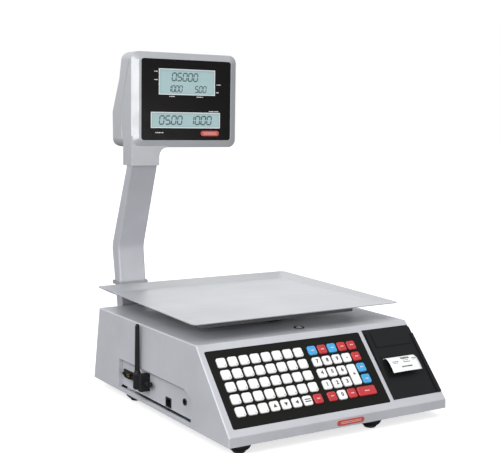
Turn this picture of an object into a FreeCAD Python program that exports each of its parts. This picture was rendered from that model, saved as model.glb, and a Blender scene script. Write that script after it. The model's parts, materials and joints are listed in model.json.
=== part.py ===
import FreeCAD, Part
import math
import os

import Sketcher
from FreeCAD import Placement, Rotation, Vector

# Counter-top retail price scale: a wedge-shaped housing with a keypad and a label printer on
# its sloping front, a weighing platter over a load cell, and a display head on a bent post.
# Millimetres. +Z is up, -Y faces the operator, +X is the operator's right. The origin is the
# centre of the base tray's underside; the feet hang below it.

DRIVING_SIZES = {
    # housing
    "base_width": 400.0, "base_depth": 445.0, "base_height": 123.0, "lip_height": 14.0,
    "slope_angle": 48.0, "side_inset": 3.0, "rear_inset": 15.0, "wall": 3.0, "cavity_half": 194.0,
    "edge_round": 2.0, "boss_radius": 7.5, "boss_height": 30.0,
    # base tray and feet
    "tray_thick": 2.5, "tray_gap": 0.3, "dish_radius": 12.5, "dish_rise": 5.0,
    "stud_boss_radius": 8.0, "stud_boss_top": 14.0, "stud_radius": 4.0, "stud_top": 16.0,
    "foot_drop": 14.0, "foot_radius": 11.0, "running_gap": 0.05,
    "front_feet_y": -204.0, "left_foot_x": -172.0, "middle_foot_x": 62.0, "right_foot_x": 172.0,
    "right_foot_y": -168.0, "rear_left_foot_x": -178.0, "rear_left_foot_y": 103.0,
    "rear_right_foot_y": 190.0,
    # screws, all one size
    "screw_radius": 2.0, "screw_head_radius": 4.0, "screw_head_height": 2.6,
    "screw_length": 14.0, "screw_dish_rise": 3.0,
    # sockets on the left side
    "panel_front_y": -116.5, "panel_rear_y": 125.0, "panel_bottom_z": 5.0, "panel_top_z": 50.0,
    "panel_corner_y": -91.5, "panel_corner_z": 40.0, "panel_plate_low": 7.7, "panel_face_x": -191.0,
    "panel_thick": 2.0, "panel_rim": 2.5, "opening_bevel": 3.0,
    "serial_y": 98.5, "serial_z": 29.5, "network_y": -33.0, "network_z": 16.5,
    "power_y": -84.0, "power_z": 30.0, "power_radius": 5.2,
    "adapter_y": 35.0, "adapter_z": 33.0, "adapter_width": 12.0, "adapter_height": 28.0,
    "adapter_out": 15.5, "aerial_x": -204.0, "aerial_y": 48.0, "aerial_pivot_z": 27.0,
    "aerial_length": 97.0, "aerial_boot_radius": 6.5, "aerial_rod_radius": 4.0,
    # keypad, measured along the slope (up_...) and outwards from it
    "pad_left": -188.2, "pad_right": 92.8, "pad_low": 11.2, "pad_high": 135.0, "pad_corner": 3.0,
    "pad_thick": 3.0, "fit_gap": 0.2, "key_size": 15.2, "key_pitch_up": 19.6,
    "key_pitch_left": 19.2, "key_pitch_right": 18.7, "left_block_x": -167.6,
    "right_block_x": -7.6, "bottom_row": 35.4, "key_proud": 2.6, "key_flange": 1.0,
    "key_corner": 3.2, "key_dome": 1.4, "key_travel": 1.2, "mat_thick": 1.6, "board_thick": 1.6,
    # label printer in the right end of the slope
    "cover_left": 100.1, "cover_right": 197.4, "cover_low": 13.4, "cover_high": 137.2,
    "cover_thick": 1.5, "cover_corner": 4.0, "corner_room": 1.8, "rail_height": 1.8,
    "slot_up": 83.0, "slot_width": 60.0, "slot_gap": 2.4, "label_width": 58.0, "label_thick": 0.25, "label_x": 145.5,
    "plate_left_x": 111.9, "plate_right_x": 177.0, "plate_thick": 2.0,
    "platen_up": 86.0, "platen_depth": 20.0, "platen_radius": 6.0, "platen_shaft": 2.5,
    "roll_y": -112.0, "roll_z": 38.0, "roll_radius": 28.0, "roll_spindle": 3.0,
    "gear_module": 1.0, "platen_teeth": 28.0, "pinion_teeth": 12.0, "gear_width": 5.0,
    "motor_up": 67.4, "motor_depth": 27.3, "motor_radius": 13.0, "motor_length": 20.0,
    # bubble level
    "level_x": 7.0, "level_y": -92.0, "level_radius": 7.0, "level_flange": 8.7,
    # weighing mechanism
    "platter_y": 56.5, "platter_length": 388.0, "platter_depth": 336.0, "platter_top_z": 154.0,
    "platter_sheet": 1.2, "rim_rise": 6.0, "rim_run": 18.0, "rim_lip": 0.4, "platter_corner": 9.0,
    "rim_tilt": 1.2,
    "cell_width": 40.0, "cell_length": 150.0, "cell_height": 30.0, "cell_bottom_z": 50.0,
    "cell_bolt_in": 15.0, "hub_gap": 0.9, "spider_bottom_z": 130.0, "arm_width": 18.0,
    "pad_x": 140.0, "pad_y": 100.0, "pan_pad_radius": 9.0, "pan_pad_thick": 3.0,
    "hub_hole_radius": 31.0,
    # display post
    "post_x": -122.5, "post_width": 50.0, "post_wall": 2.2, "post_round": 3.0,
    "post_bend_round": 32.0, "post_foot_y": 223.0,
    "post_depth": 20.0, "post_bottom_z": 12.0, "post_knee_z": 118.0, "post_bend_z": 221.0,
    "post_bend_y": 236.8, "post_bend_depth": 27.0, "post_top_z": 365.0, "post_top_y": 187.0,
    "post_top_depth": 17.7, "spigot_width": 41.0, "spigot_top_z": 385.0,
    "collar_bottom_z": 155.0, "collar_height": 6.0, "collar_lip": 2.5,
    # display head
    "head_x": -46.0, "head_width": 205.0, "head_front_y": 180.0, "head_bottom_z": 395.5,
    "head_top_z": 556.5, "head_wall": 2.5, "head_corner": 14.0, "head_bevel_in": 12.0,
    "head_bevel_back": 5.0, "neck_left_x": -148.5, "neck_width": 53.0, "neck_front_y": 184.0,
    "neck_rear_y": 216.0,
    "neck_round": 15.0,
    "window_x": -44.5, "window_width": 175.0, "window_low_z": 408.0, "window_high_z": 545.0,
    "window_corner": 5.0, "window_thick": 2.0,
    "upper_lcd_x": -44.0, "upper_lcd_z": 507.2, "upper_lcd_width": 108.0,
    "upper_lcd_height": 41.6, "lower_lcd_x": -46.0, "lower_lcd_z": 442.2,
    "lower_lcd_width": 133.6, "lower_lcd_height": 24.8, "lcd_thick": 3.0,
    "rear_window_width": 150.0, "rear_window_height": 48.0,
    # front badge
    "badge_x": 10.0, "badge_z": 7.0, "badge_width": 50.0, "badge_height": 8.0,
    "badge_thick": 1.2,
}

PARTS_FOLDER = "parts"
COLUMNS_LEFT = 8
COLUMNS_RIGHT = 5
ROWS = 5


class Size:
    """A dimension: its number, and the sheet expression that keeps it driven by the sheet."""

    def __init__(self, value, text):
        self.value = value
        self.text = text

    def __add__(self, other):
        other = as_size(other)
        return Size(self.value + other.value, f"({self.text} + {other.text})")

    def __sub__(self, other):
        other = as_size(other)
        return Size(self.value - other.value, f"({self.text} - {other.text})")

    def __mul__(self, other):
        other = as_size(other)
        return Size(self.value * other.value, f"({self.text} * {other.text})")

    def __truediv__(self, other):
        other = as_size(other)
        return Size(self.value / other.value, f"({self.text} / {other.text})")

    def __radd__(self, other):
        return as_size(other) + self

    def __rsub__(self, other):
        return as_size(other) - self

    def __rmul__(self, other):
        return as_size(other) * self

    def __neg__(self):
        return Size(-self.value, f"(-1 * {self.text})")


def as_size(value):
    """Plain numbers become sizes too, so that both can be mixed in a formula."""
    return value if isinstance(value, Size) else Size(float(value), repr(float(value)))


def sine(angle):
    return Size(math.sin(math.radians(angle.value)), f"sin({angle.text} * 1deg)")


def cosine(angle):
    return Size(math.cos(math.radians(angle.value)), f"cos({angle.text} * 1deg)")


def tangent(angle):
    return Size(math.tan(math.radians(angle.value)), f"tan({angle.text} * 1deg)")


def make_sheet(doc):
    """The sheet of driving sizes: one named cell for each."""
    sheet = doc.addObject("Spreadsheet::Sheet", "dims")
    sheet.Label = "dims"
    for row, (name, value) in enumerate(DRIVING_SIZES.items(), start=1):
        sheet.set(f"A{row}", name)
        sheet.set(f"B{row}", str(value))
        sheet.setAlias(f"B{row}", name)
    doc.recompute()
    return sheet


DOC = FreeCAD.newDocument("price_scale")
SHEET = make_sheet(DOC)
NODES = []


def dim(name):
    """A driving size, by its name in the sheet."""
    return Size(float(SHEET.get(name)), f"<<dims>>.{name}")


def bind(target, prop, size, unit="mm"):
    """Drive one property by the sheet."""
    target.setExpression(prop, f"{as_size(size).text} * 1{unit}")


# ---------------------------------------------------------------- bodies, sketches, features


def new_body(label):
    """A sub-part: its label is its file's name."""
    body = DOC.addObject("PartDesign::Body", label)
    body.Label = label
    body.AllowCompound = True
    NODES.append(body)
    return body


def origin_feature(body, role):
    return next(item for item in body.Origin.OriginFeatures if item.Role == role)


def place(body, x=0, y=0, z=0, axis=(1, 0, 0), angle=0):
    """Put a sub-part in the scale's frame."""
    spot = Vector(as_size(x).value, as_size(y).value, as_size(z).value)
    body.Placement = Placement(spot, Rotation(Vector(*axis), as_size(angle).value))
    for letter, size in zip("xyz", (x, y, z)):
        bind(body, f"Placement.Base.{letter}", size)
    return body


def place_on_slope(body):
    """The slope's own frame: x across, y up the slope from the lip, z out of the slope."""
    return place(body, 0, -dim("base_depth") / 2, dim("lip_height"), angle=dim("slope_angle"))


def new_sketch(body, plane="XY_Plane", offset=0, name="outline"):
    sketch = body.newObject("Sketcher::SketchObject", f"{body.Name}_{name}")
    sketch.AttachmentSupport = [(origin_feature(body, plane), "")]
    sketch.MapMode = "FlatFace"
    bind(sketch, "AttachmentOffset.Base.z", offset)
    return sketch


def slope_sketch(body, name="on_slope"):
    """A sketch on the slope's face, in a sub-part that has the scale's own frame."""
    sketch = new_sketch(body, "XY_Plane", dim("lip_height"), name)
    sketch.AttachmentOffset = Placement(Vector(0, 0, 0), Rotation(Vector(1, 0, 0), dim("slope_angle").value))
    bind(sketch, "AttachmentOffset.Base.y", -dim("base_depth") / 2)
    bind(sketch, "AttachmentOffset.Base.z", dim("lip_height"))
    bind(sketch, "AttachmentOffset.Rotation.Angle", dim("slope_angle"), "deg")
    return sketch


def pin_point(sketch, geometry, point, x, y):
    """Hold one point of a sketch at driven distances from the sketch's origin."""
    for kind, size in (("DistanceX", as_size(x)), ("DistanceY", as_size(y))):
        index = sketch.addConstraint(Sketcher.Constraint(kind, -1, 1, geometry, point, size.value))
        bind(sketch, f"Constraints[{index}]", size)


def draw_polygon(sketch, corners):
    """A closed outline through the corners."""
    first = sketch.GeometryCount
    count = len(corners)
    points = [Vector(as_size(x).value, as_size(y).value, 0) for x, y in corners]
    for index in range(count):
        sketch.addGeometry(Part.LineSegment(points[index], points[(index + 1) % count]))
    for index in range(count):
        following = first + (index + 1) % count
        sketch.addConstraint(Sketcher.Constraint("Coincident", first + index, 2, following, 1))
    for index, (x, y) in enumerate(corners):
        pin_point(sketch, first + index, 1, x, y)
    return sketch


def draw_rectangle(sketch, left, right, low, high):
    return draw_polygon(sketch, [(left, low), (right, low), (right, high), (left, high)])


def draw_rounded(sketch, left, right, low, high, radius):
    """A rectangle with round corners."""
    left, right, low, high, radius = (as_size(size) for size in (left, right, low, high, radius))
    centres = [(right - radius, low + radius), (right - radius, high - radius),
               (left + radius, high - radius), (left + radius, low + radius)]
    ends = [((right - radius, low), (right, low + radius)), ((right, high - radius), (right - radius, high)),
            ((left + radius, high), (left, high - radius)), ((left, low + radius), (left + radius, low))]
    first = sketch.GeometryCount
    for corner, ((cx, cy), (start, end)) in enumerate(zip(centres, ends)):
        circle = Part.Circle(Vector(cx.value, cy.value, 0), Vector(0, 0, 1), radius.value)
        turn = math.radians(90 * (corner - 1))
        sketch.addGeometry(Part.ArcOfCircle(circle, turn, turn + math.pi / 2))
        following = ends[(corner + 1) % 4][0]
        sketch.addGeometry(Part.LineSegment(Vector(end[0].value, end[1].value, 0),
                                            Vector(following[0].value, following[1].value, 0)))
    for corner, (start, end) in enumerate(ends):
        arc = first + 2 * corner
        next_arc = first + 2 * ((corner + 1) % 4)
        sketch.addConstraint(Sketcher.Constraint("Coincident", arc, 2, arc + 1, 1))
        sketch.addConstraint(Sketcher.Constraint("Coincident", arc + 1, 2, next_arc, 1))
        pin_point(sketch, arc, 1, *start)
        pin_point(sketch, arc, 2, *end)
        index = sketch.addConstraint(Sketcher.Constraint("Radius", arc, radius.value))
        bind(sketch, f"Constraints[{index}]", radius)
    return sketch


def draw_circle(sketch, x, y, radius):
    x, y, radius = as_size(x), as_size(y), as_size(radius)
    circle = sketch.addGeometry(Part.Circle(Vector(x.value, y.value, 0), Vector(0, 0, 1), radius.value))
    pin_point(sketch, circle, 3, x, y)
    index = sketch.addConstraint(Sketcher.Constraint("Radius", circle, radius.value))
    bind(sketch, f"Constraints[{index}]", radius)
    return sketch


def add_feature(body, kind, sketch, length, both_ways=False, reverse=False):
    feature = body.newObject(f"PartDesign::{kind}", f"{sketch.Name}_{kind.lower()}")
    feature.Profile = sketch
    bind(feature, "Length", length)
    feature.Midplane = both_ways
    feature.Reversed = reverse
    DOC.recompute()
    return feature


def pad(body, sketch, length, both_ways=False, reverse=False):
    return add_feature(body, "Pad", sketch, length, both_ways, reverse)


def pocket(body, sketch, length, both_ways=False, reverse=False):
    """Cuts against the sketch's normal, or along it when reversed; the cut must remove material."""
    before = body.Shape.Volume
    feature = add_feature(body, "Pocket", sketch, length, both_ways, reverse)
    assert body.Shape.Volume < before - 1e-3, f"{sketch.Name} cuts nothing"
    return feature


def revolve(body, profile, name="profile"):
    """A solid of revolution about the sub-part's own z axis, from (radius, height) corners."""
    sketch = draw_polygon(new_sketch(body, "XZ_Plane", name=name), profile)
    feature = body.newObject("PartDesign::Revolution", f"{sketch.Name}_turned")
    feature.Profile = sketch
    feature.ReferenceAxis = (sketch, ["V_Axis"])
    feature.Angle = 360
    DOC.recompute()
    return feature


def edges_where(shape, test):
    """Names of the edges whose middle passes the test."""
    names = []
    for index, edge in enumerate(shape.Edges, start=1):
        if test(edge.valueAt((edge.FirstParameter + edge.LastParameter) / 2)):
            names.append(f"Edge{index}")
    return names


def blend(body, kind, test, size):
    """Fillet or chamfer the tip's edges that pass the test."""
    tip = body.Tip
    feature = body.newObject(f"PartDesign::{kind}", f"{body.Name}_{kind.lower()}")
    feature.Base = (tip, edges_where(tip.Shape, test))
    bind(feature, "Radius" if kind == "Fillet" else "Size", size)
    DOC.recompute()
    return feature


def near(value, size, tolerance=0.05):
    return abs(value - as_size(size).value) < tolerance


# ---------------------------------------------------------------- derived sizes

half_width = dim("base_width") / 2
half_depth = dim("base_depth") / 2
height = dim("base_height")
lip = dim("lip_height")
wall = dim("wall")
angle = dim("slope_angle")
slope_run = (height - lip) / tangent(angle)


def rear_wall_y(z, inward=0):
    """The leaning rear wall's outer face at one height, or a line parallel to it inside."""
    return half_depth - dim("rear_inset") * as_size(z) / height - inward


def slope_point(up, out):
    """A point of the slope's frame in the scale's frame, as (y, z)."""
    up, out = as_size(up), as_size(out)
    y = -half_depth + up * cosine(angle) - out * sine(angle)
    z = lip + up * sine(angle) + out * cosine(angle)
    return y, z


# ---------------------------------------------------------------- housing, tray and feet

TRAY_SCREWS = ((-187, -150), (187, -150), (-187, 165), (187, 165), (-90, 210), (90, 210))
POST_SCREWS = ((-15, 30), (15, 30), (-15, 62), (15, 62))


def outer_profile(body):
    sketch = new_sketch(body, "YZ_Plane")
    corners = [(-half_depth, 0), (half_depth, 0), (half_depth - dim("rear_inset"), height),
               (-half_depth + slope_run, height), (-half_depth, lip)]
    return draw_polygon(sketch, corners)


def inner_profile(body):
    """The cavity: the outer profile less one wall, open at the bottom."""
    sketch = new_sketch(body, "YZ_Plane", name="cavity")
    front = -half_depth + wall
    roof = height - wall
    drop = wall / cosine(angle)
    corners = [(front, -1), (rear_wall_y(-1, wall), -1), (rear_wall_y(roof, wall), roof),
               (-half_depth + (roof - lip + drop) / tangent(angle), roof),
               (front, lip + wall * tangent(angle) - drop)]
    return draw_polygon(sketch, corners)


def cut_side_lean(body):
    """Both side walls lean in a little towards the top."""
    sketch = new_sketch(body, "XZ_Plane", name="side_lean")
    for side in (-1, 1):
        corners = [(side * half_width, 0), (side * (half_width + 1), 0),
                   (side * (half_width + 1), height), (side * (half_width - dim("side_inset")), height)]
        draw_polygon(sketch, corners if side > 0 else corners[::-1])
    pocket(body, sketch, dim("base_depth") + 10, both_ways=True)


def make_housing():
    body = new_body("upper_housing")
    pad(body, outer_profile(body), dim("base_width"), both_ways=True)
    cut_side_lean(body)
    blend(body, "Fillet", lambda p: p.z > 0.5, dim("edge_round"))
    pocket(body, inner_profile(body), 2 * dim("cavity_half"), both_ways=True)

    bosses = new_sketch(body, "XY_Plane", dim("tray_thick") + dim("screw_dish_rise"), "bosses")
    for x, y in TRAY_SCREWS:
        draw_circle(bosses, x, y, dim("boss_radius"))
    pad(body, bosses, dim("boss_height"))
    holes = new_sketch(body, "XY_Plane", dim("tray_thick") + dim("screw_dish_rise"), "boss_holes")
    for x, y in TRAY_SCREWS:
        draw_circle(holes, x, y, dim("screw_radius") + dim("running_gap"))
    pocket(body, holes, dim("boss_height") - 4, reverse=True)

    keypad = slope_sketch(body, "keypad_opening")
    gap = dim("fit_gap")
    draw_rounded(keypad, dim("pad_left") - gap, dim("pad_right") + gap, dim("pad_low") - gap,
                 dim("pad_high") + gap, dim("pad_corner"))
    pocket(body, keypad, 4 * wall)
    rebate = slope_sketch(body, "printer_rebate")
    draw_cover_outline(rebate, gap, half_width + 1)
    pocket(body, rebate, dim("cover_thick") + 0.1)
    opening = slope_sketch(body, "printer_opening")
    draw_rectangle(opening, dim("cover_left") + 3, dim("cavity_half") - 2, dim("cover_low") + 4,
                   dim("cover_high") - 4)
    pocket(body, opening, 4 * wall)

    top = new_sketch(body, "XY_Plane", height + 1, "top_holes")
    draw_circle(top, 0, hub_y(), dim("hub_hole_radius"))
    draw_circle(top, dim("level_x"), dim("level_y"), dim("level_radius") + 0.1)
    pocket(body, top, wall + 2)

    sockets = new_sketch(body, "YZ_Plane", -half_width - 1, "socket_opening")
    draw_polygon(sockets, socket_outline(0))
    pocket(body, sockets, 9, reverse=True)
    bevelled = ((16.75, dim("panel_top_z").value), (-104.0, 45.0))
    blend(body, "Chamfer", lambda p: p.x < -half_width.value + 3 and
          any(near(p.y, y) and near(p.z, z) for y, z in bevelled), dim("opening_bevel"))

    rear = new_sketch(body, "XZ_Plane", -rear_wall_y(height, 12), "post_holes")
    for x, z in POST_SCREWS:
        draw_circle(rear, dim("post_x") + x, z, dim("screw_radius") + dim("fit_gap"))
    pocket(body, rear, 40)
    return body


def make_tray():
    body = new_body("base_tray")
    gap = dim("tray_gap")
    side = dim("cavity_half") - gap
    sheet = draw_rounded(new_sketch(body), -side, side, -half_depth + wall + gap,
                         rear_wall_y(dim("tray_thick"), wall + gap), 4)
    pad(body, sheet, dim("tray_thick"))
    raised = new_sketch(body, name="raised_dishes")
    bosses = new_sketch(body, name="stud_bosses")
    hollows = new_sketch(body, name="dish_hollows")
    for x, y in foot_spots():
        draw_circle(raised, x, y, dim("dish_radius") + dim("tray_thick"))
        draw_circle(bosses, x, y, dim("stud_boss_radius"))
        draw_circle(hollows, x, y, dim("dish_radius"))
    pad(body, raised, dim("dish_rise") + dim("tray_thick"))
    pad(body, bosses, dim("stud_boss_top"))
    pocket(body, hollows, dim("dish_rise"), reverse=True)
    studs = new_sketch(body, name="stud_holes")
    for x, y in foot_spots():
        draw_circle(studs, x, y, dim("stud_radius") + dim("running_gap"))
    pocket(body, studs, dim("stud_boss_top") + 1, reverse=True)

    screw_dishes = new_sketch(body, name="screw_dishes")
    screw_hollows = new_sketch(body, name="screw_hollows")
    screw_holes = new_sketch(body, name="screw_holes")
    for x, y in TRAY_SCREWS:
        draw_circle(screw_dishes, x, y, dim("screw_head_radius") + 0.5 + 2)
        draw_circle(screw_hollows, x, y, dim("screw_head_radius") + 0.5)
        draw_circle(screw_holes, x, y, dim("screw_radius") + dim("fit_gap"))
    pad(body, screw_dishes, dim("tray_thick") + dim("screw_dish_rise"))
    pocket(body, screw_hollows, dim("screw_dish_rise"), reverse=True)
    pocket(body, screw_holes, 20, reverse=True)

    slot = draw_rounded(new_sketch(body, name="vent"), 60, 100, 130, 133, 1.4)
    first = pocket(body, slot, 10, reverse=True)
    row = body.newObject("PartDesign::LinearPattern", "vent_row")
    row.Originals = [first]
    row.Direction = (origin_feature(body, "Y_Axis"), [""])
    row.Occurrences = 6
    bind(row, "Length", 40)
    body.Tip = row
    DOC.recompute()
    return body


def foot_spots():
    """The five levelling feet, as (x, y)."""
    return ((dim("left_foot_x"), dim("front_feet_y")), (dim("middle_foot_x"), dim("front_feet_y")),
            (dim("right_foot_x"), dim("right_foot_y")),
            (dim("rear_left_foot_x"), dim("rear_left_foot_y")),
            (dim("right_foot_x"), dim("rear_right_foot_y")))


def make_feet():
    """Round feet on threaded studs that screw up and down in the tray."""
    names = ("foot_front_left", "foot_front_middle", "foot_front_right", "foot_rear_left",
             "foot_rear_right")
    radius, drop, stud = dim("foot_radius"), dim("foot_drop"), dim("stud_radius")
    for name, (x, y) in zip(names, foot_spots()):
        body = new_body(name)
        revolve(body, [(0, -drop), (radius - 3, -drop), (radius - 1.5, -drop + 1.5), (radius, -6),
                       (radius, -2.5), (radius - 1, -1.5), (stud, -1.5), (stud, dim("stud_top")),
                       (0, dim("stud_top"))])
        place(body, x, y, 0)


def screw_shape():
    """One pan-head screw: head below z = 0, shank above."""
    head = Part.makeCylinder(dim("screw_head_radius").value, dim("screw_head_height").value,
                             Vector(0, 0, -dim("screw_head_height").value))
    shank = Part.makeCylinder(dim("screw_radius").value, dim("screw_length").value)
    driver = Part.makeCylinder(1.4, 1.4, Vector(0, 0, -dim("screw_head_height").value))
    return head.fuse(shank).cut(driver).removeSplitter()


def make_screws():
    """All the identical screws: up through the tray, and back through the rear wall."""
    screws = []
    for x, y in TRAY_SCREWS:
        spot = Vector(x, y, dim("screw_dish_rise").value)
        screws.append(screw_shape().translated(spot))
    for x, z in POST_SCREWS:
        screw = screw_shape()
        screw.rotate(Vector(0, 0, 0), Vector(1, 0, 0), -90)
        head_y = rear_wall_y(z + dim("screw_head_radius").value, wall).value - 0.5
        screws.append(screw.translated(Vector(dim("post_x").value + x, head_y, z)))
    group = DOC.addObject("Part::Feature", "case_screws")
    group.Shape = Part.makeCompound(screws)
    group.Label = "case_screws"
    NODES.append(group)


# ---------------------------------------------------------------- sockets on the left side


def socket_outline(grow=0, low=None):
    """The socket recess seen from the side, as (y, z), grown outwards by a margin."""
    front, rear = dim("panel_front_y") - grow, dim("panel_rear_y") + grow
    low, top = low or dim("panel_bottom_z"), dim("panel_top_z") + grow
    return [(front, low), (rear, low), (rear, top), (dim("panel_corner_y"), top),
            (front, dim("panel_corner_z"))]


def make_io_panel():
    """A shallow pan behind the opening: a rim against the wall and a face with the sockets."""
    body = new_body("io_panel")
    rim_x = -dim("cavity_half") + 0.1
    face_x = dim("panel_face_x")
    low = dim("panel_plate_low")
    outer = draw_polygon(new_sketch(body, "YZ_Plane", rim_x), socket_outline(dim("panel_rim"), low))
    pad(body, outer, face_x + dim("panel_thick") - rim_x)
    inner = draw_polygon(new_sketch(body, "YZ_Plane", rim_x, "pan"), socket_outline(0, low))
    pocket(body, inner, face_x - rim_x, reverse=True)
    holes = new_sketch(body, "YZ_Plane", rim_x, "socket_holes")
    serial_y, serial_z = dim("serial_y"), dim("serial_z")
    network_y, network_z = dim("network_y"), dim("network_z")
    draw_rectangle(holes, serial_y - 15.2, serial_y + 15.2, serial_z - 5.2, serial_z + 5.2)
    draw_rectangle(holes, network_y - 8.7, network_y + 8.7, network_z - 7.7, network_z + 7.7)
    draw_circle(holes, dim("power_y"), dim("power_z"), 4.7)
    draw_circle(holes, dim("adapter_y"), dim("adapter_z"), 4.2)
    pocket(body, holes, 20, reverse=True)
    return body


def make_serial_port():
    """A nine-pin socket: flange and shell outside the panel, body behind it, two jack screws."""
    body = new_body("serial_port")
    face = dim("panel_face_x")
    y, z = dim("serial_y"), dim("serial_z")
    flange = draw_rounded(new_sketch(body, "YZ_Plane", face, "flange"), y - 22, y + 22, z - 6.5, z + 6.5, 2)
    pad(body, flange, 1.6, reverse=True)
    inside = draw_rectangle(new_sketch(body, "YZ_Plane", face, "body"), y - 15, y + 15, z - 5, z + 5)
    pad(body, inside, 12)
    shell = draw_rounded(new_sketch(body, "YZ_Plane", face - 1.6, "shell"), y - 10, y + 10, z - 4.6, z + 4.6, 2)
    pad(body, shell, 5, reverse=True)
    hollow = draw_rounded(new_sketch(body, "YZ_Plane", face - 7, "hollow"), y - 9, y + 9, z - 3.6, z + 3.6, 1.5)
    pocket(body, hollow, 4, reverse=True)
    jacks = new_sketch(body, "YZ_Plane", face - 1.6, "jack_screws")
    for side in (-1, 1):
        draw_circle(jacks, y + side * 16.5, z, 2.5)
    pad(body, jacks, 4, reverse=True)
    return body


def make_network_port():
    """A shielded modular socket with its plug opening and latch notch."""
    body = new_body("network_port")
    face = dim("panel_face_x")
    y, z = dim("network_y"), dim("network_z")
    shield = draw_rectangle(new_sketch(body, "YZ_Plane", face - 1), y - 8.5, y + 8.5, z - 7.5, z + 7.5)
    pad(body, shield, 17)
    mouth = new_sketch(body, "YZ_Plane", face - 2, "mouth")
    draw_polygon(mouth, [(y - 6, z - 6), (y + 5, z - 6), (y + 5, z - 2), (y + 7.3, z - 2),
                         (y + 7.3, z + 2), (y + 5, z + 2), (y + 5, z + 6), (y - 6, z + 6)])
    pocket(body, mouth, 13, reverse=True)
    return body


def make_power_jack():
    """A round supply socket with its centre pin."""
    body = new_body("power_jack")
    radius = dim("power_radius")
    revolve(body, [(1, -11), (4.5, -11), (4.5, 0), (radius, 0), (radius, 1.4), (3, 1.4), (3, -9),
                   (1, -9)])
    pin = draw_circle(new_sketch(body, "XY_Plane", -11, "pin"), 0, 0, 1)
    pad(body, pin, 10)
    return place(body, dim("panel_face_x"), dim("power_y"), dim("power_z"), (0, 1, 0), -90)


def make_adapter():
    """The wireless adapter: a block on the panel with the aerial's pivot pin on its rear side."""
    body = new_body("antenna_base")
    face = dim("panel_face_x")
    y, z = dim("adapter_y"), dim("adapter_z")
    half, tall = dim("adapter_width") / 2, dim("adapter_height") / 2
    block = draw_rounded(new_sketch(body, "YZ_Plane", face), y - half, y + half, z - tall, z + tall, 2)
    pad(body, block, dim("adapter_out"), reverse=True)
    plug = draw_circle(new_sketch(body, "YZ_Plane", face, "plug"), y, z, 4)
    pad(body, plug, 10)
    pin = draw_circle(new_sketch(body, "XZ_Plane", -y - half, "pin"), dim("aerial_x"),
                      dim("aerial_pivot_z"), 2)
    pad(body, pin, dim("aerial_y") - y - half + 2, reverse=True)
    knob = draw_circle(new_sketch(body, "XZ_Plane", -y + half, "knob"), dim("panel_face_x") - 7, z, 4.6)
    pad(body, knob, 13)
    tip = draw_circle(new_sketch(body, "XZ_Plane", -y + half, "tip"), dim("panel_face_x") - 7, z, 2.2)
    pad(body, tip, 17)
    return body


def make_aerial():
    """A rod aerial that folds about its pivot; local z runs along the rod."""
    body = new_body("antenna_rod")
    boot, rod, long = dim("aerial_boot_radius"), dim("aerial_rod_radius"), dim("aerial_length")
    revolve(body, [(0, -7), (boot - 2, -7), (boot, -5), (boot, 17), (rod, 23), (rod - 0.4, long - 3),
                   (rod - 2, long), (0, long)])
    bore = new_sketch(body, "XZ_Plane", boot + 1, "pivot_bore")
    draw_circle(bore, 0, 0, 2 + dim("running_gap"))
    pocket(body, bore, boot + 1 + 2.3)
    return place(body, dim("aerial_x"), dim("aerial_y"), dim("aerial_pivot_z"))


# ---------------------------------------------------------------- keypad


def left_key_x(column):
    return dim("left_block_x") + dim("key_pitch_left") * column


def right_key_x(column):
    return dim("right_block_x") + dim("key_pitch_right") * column


def row_up(row):
    """Distance up the slope of a row; row 0 is the bottom one."""
    return dim("bottom_row") + dim("key_pitch_up") * row


def cell(x, row, wide=0, tall=0):
    """A key's outline: its centre and how much it grows to the right and upwards."""
    half = dim("key_size") / 2
    up = row_up(row)
    return x - half, x + half + wide, up - half, up + half + tall


def left_cell(column, row):
    return cell(left_key_x(column), row)


def right_cell(column, row):
    return cell(right_key_x(column), row)


def key_groups():
    """Node name of each group of keys, with the outlines of its keys."""
    tall = cell(right_key_x(3), 1, tall=dim("key_pitch_up"))
    wide = cell(right_key_x(3), 0, wide=dim("key_pitch_right"))
    groups = {f"plu_keys_row_{ROWS - row}": [left_cell(column, row) for column in range(COLUMNS_LEFT)]
              for row in range(1, ROWS)}
    groups["plu_keys_row_5"] = [left_cell(column, 0) for column in range(COLUMNS_LEFT - 1)]
    groups["digit_keys_upper"] = [right_cell(column, 3) for column in range(4)]
    groups["digit_keys_middle"] = [right_cell(column, 2) for column in range(3)]
    groups["digit_keys_lower"] = [right_cell(column, 1) for column in range(3)]
    groups["zero_key"] = [right_cell(1, 0)]
    groups["tall_key"] = [tall]
    groups["enter_key"] = [wide]
    groups["function_keys_red"] = [right_cell(1, 4), right_cell(3, 4), right_cell(4, 4), right_cell(4, 3),
                                   right_cell(0, 0), right_cell(2, 0), left_cell(COLUMNS_LEFT - 1, 0)]
    groups["function_keys_blue"] = [right_cell(0, 4), right_cell(2, 4), right_cell(4, 2), right_cell(4, 1)]
    return groups


def make_keys():
    """Caps with a flange below that keeps them behind the frame."""
    flange_top = -dim("pad_thick") - 0.1
    for name, outlines in key_groups().items():
        body = new_body(name)
        caps = new_sketch(body, "XY_Plane", flange_top, "caps")
        flanges = new_sketch(body, "XY_Plane", flange_top, "flanges")
        for left, right, low, high in outlines:
            draw_rounded(caps, left, right, low, high, dim("key_corner"))
            draw_rectangle(flanges, left - 0.9, right + 0.9, low - 0.9, high + 0.9)
        pad(body, caps, dim("key_proud") - flange_top)
        blend(body, "Fillet", lambda p: near(p.z, dim("key_proud")), dim("key_dome"))
        pad(body, flanges, dim("key_flange"), reverse=True)
        place_on_slope(body)


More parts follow.
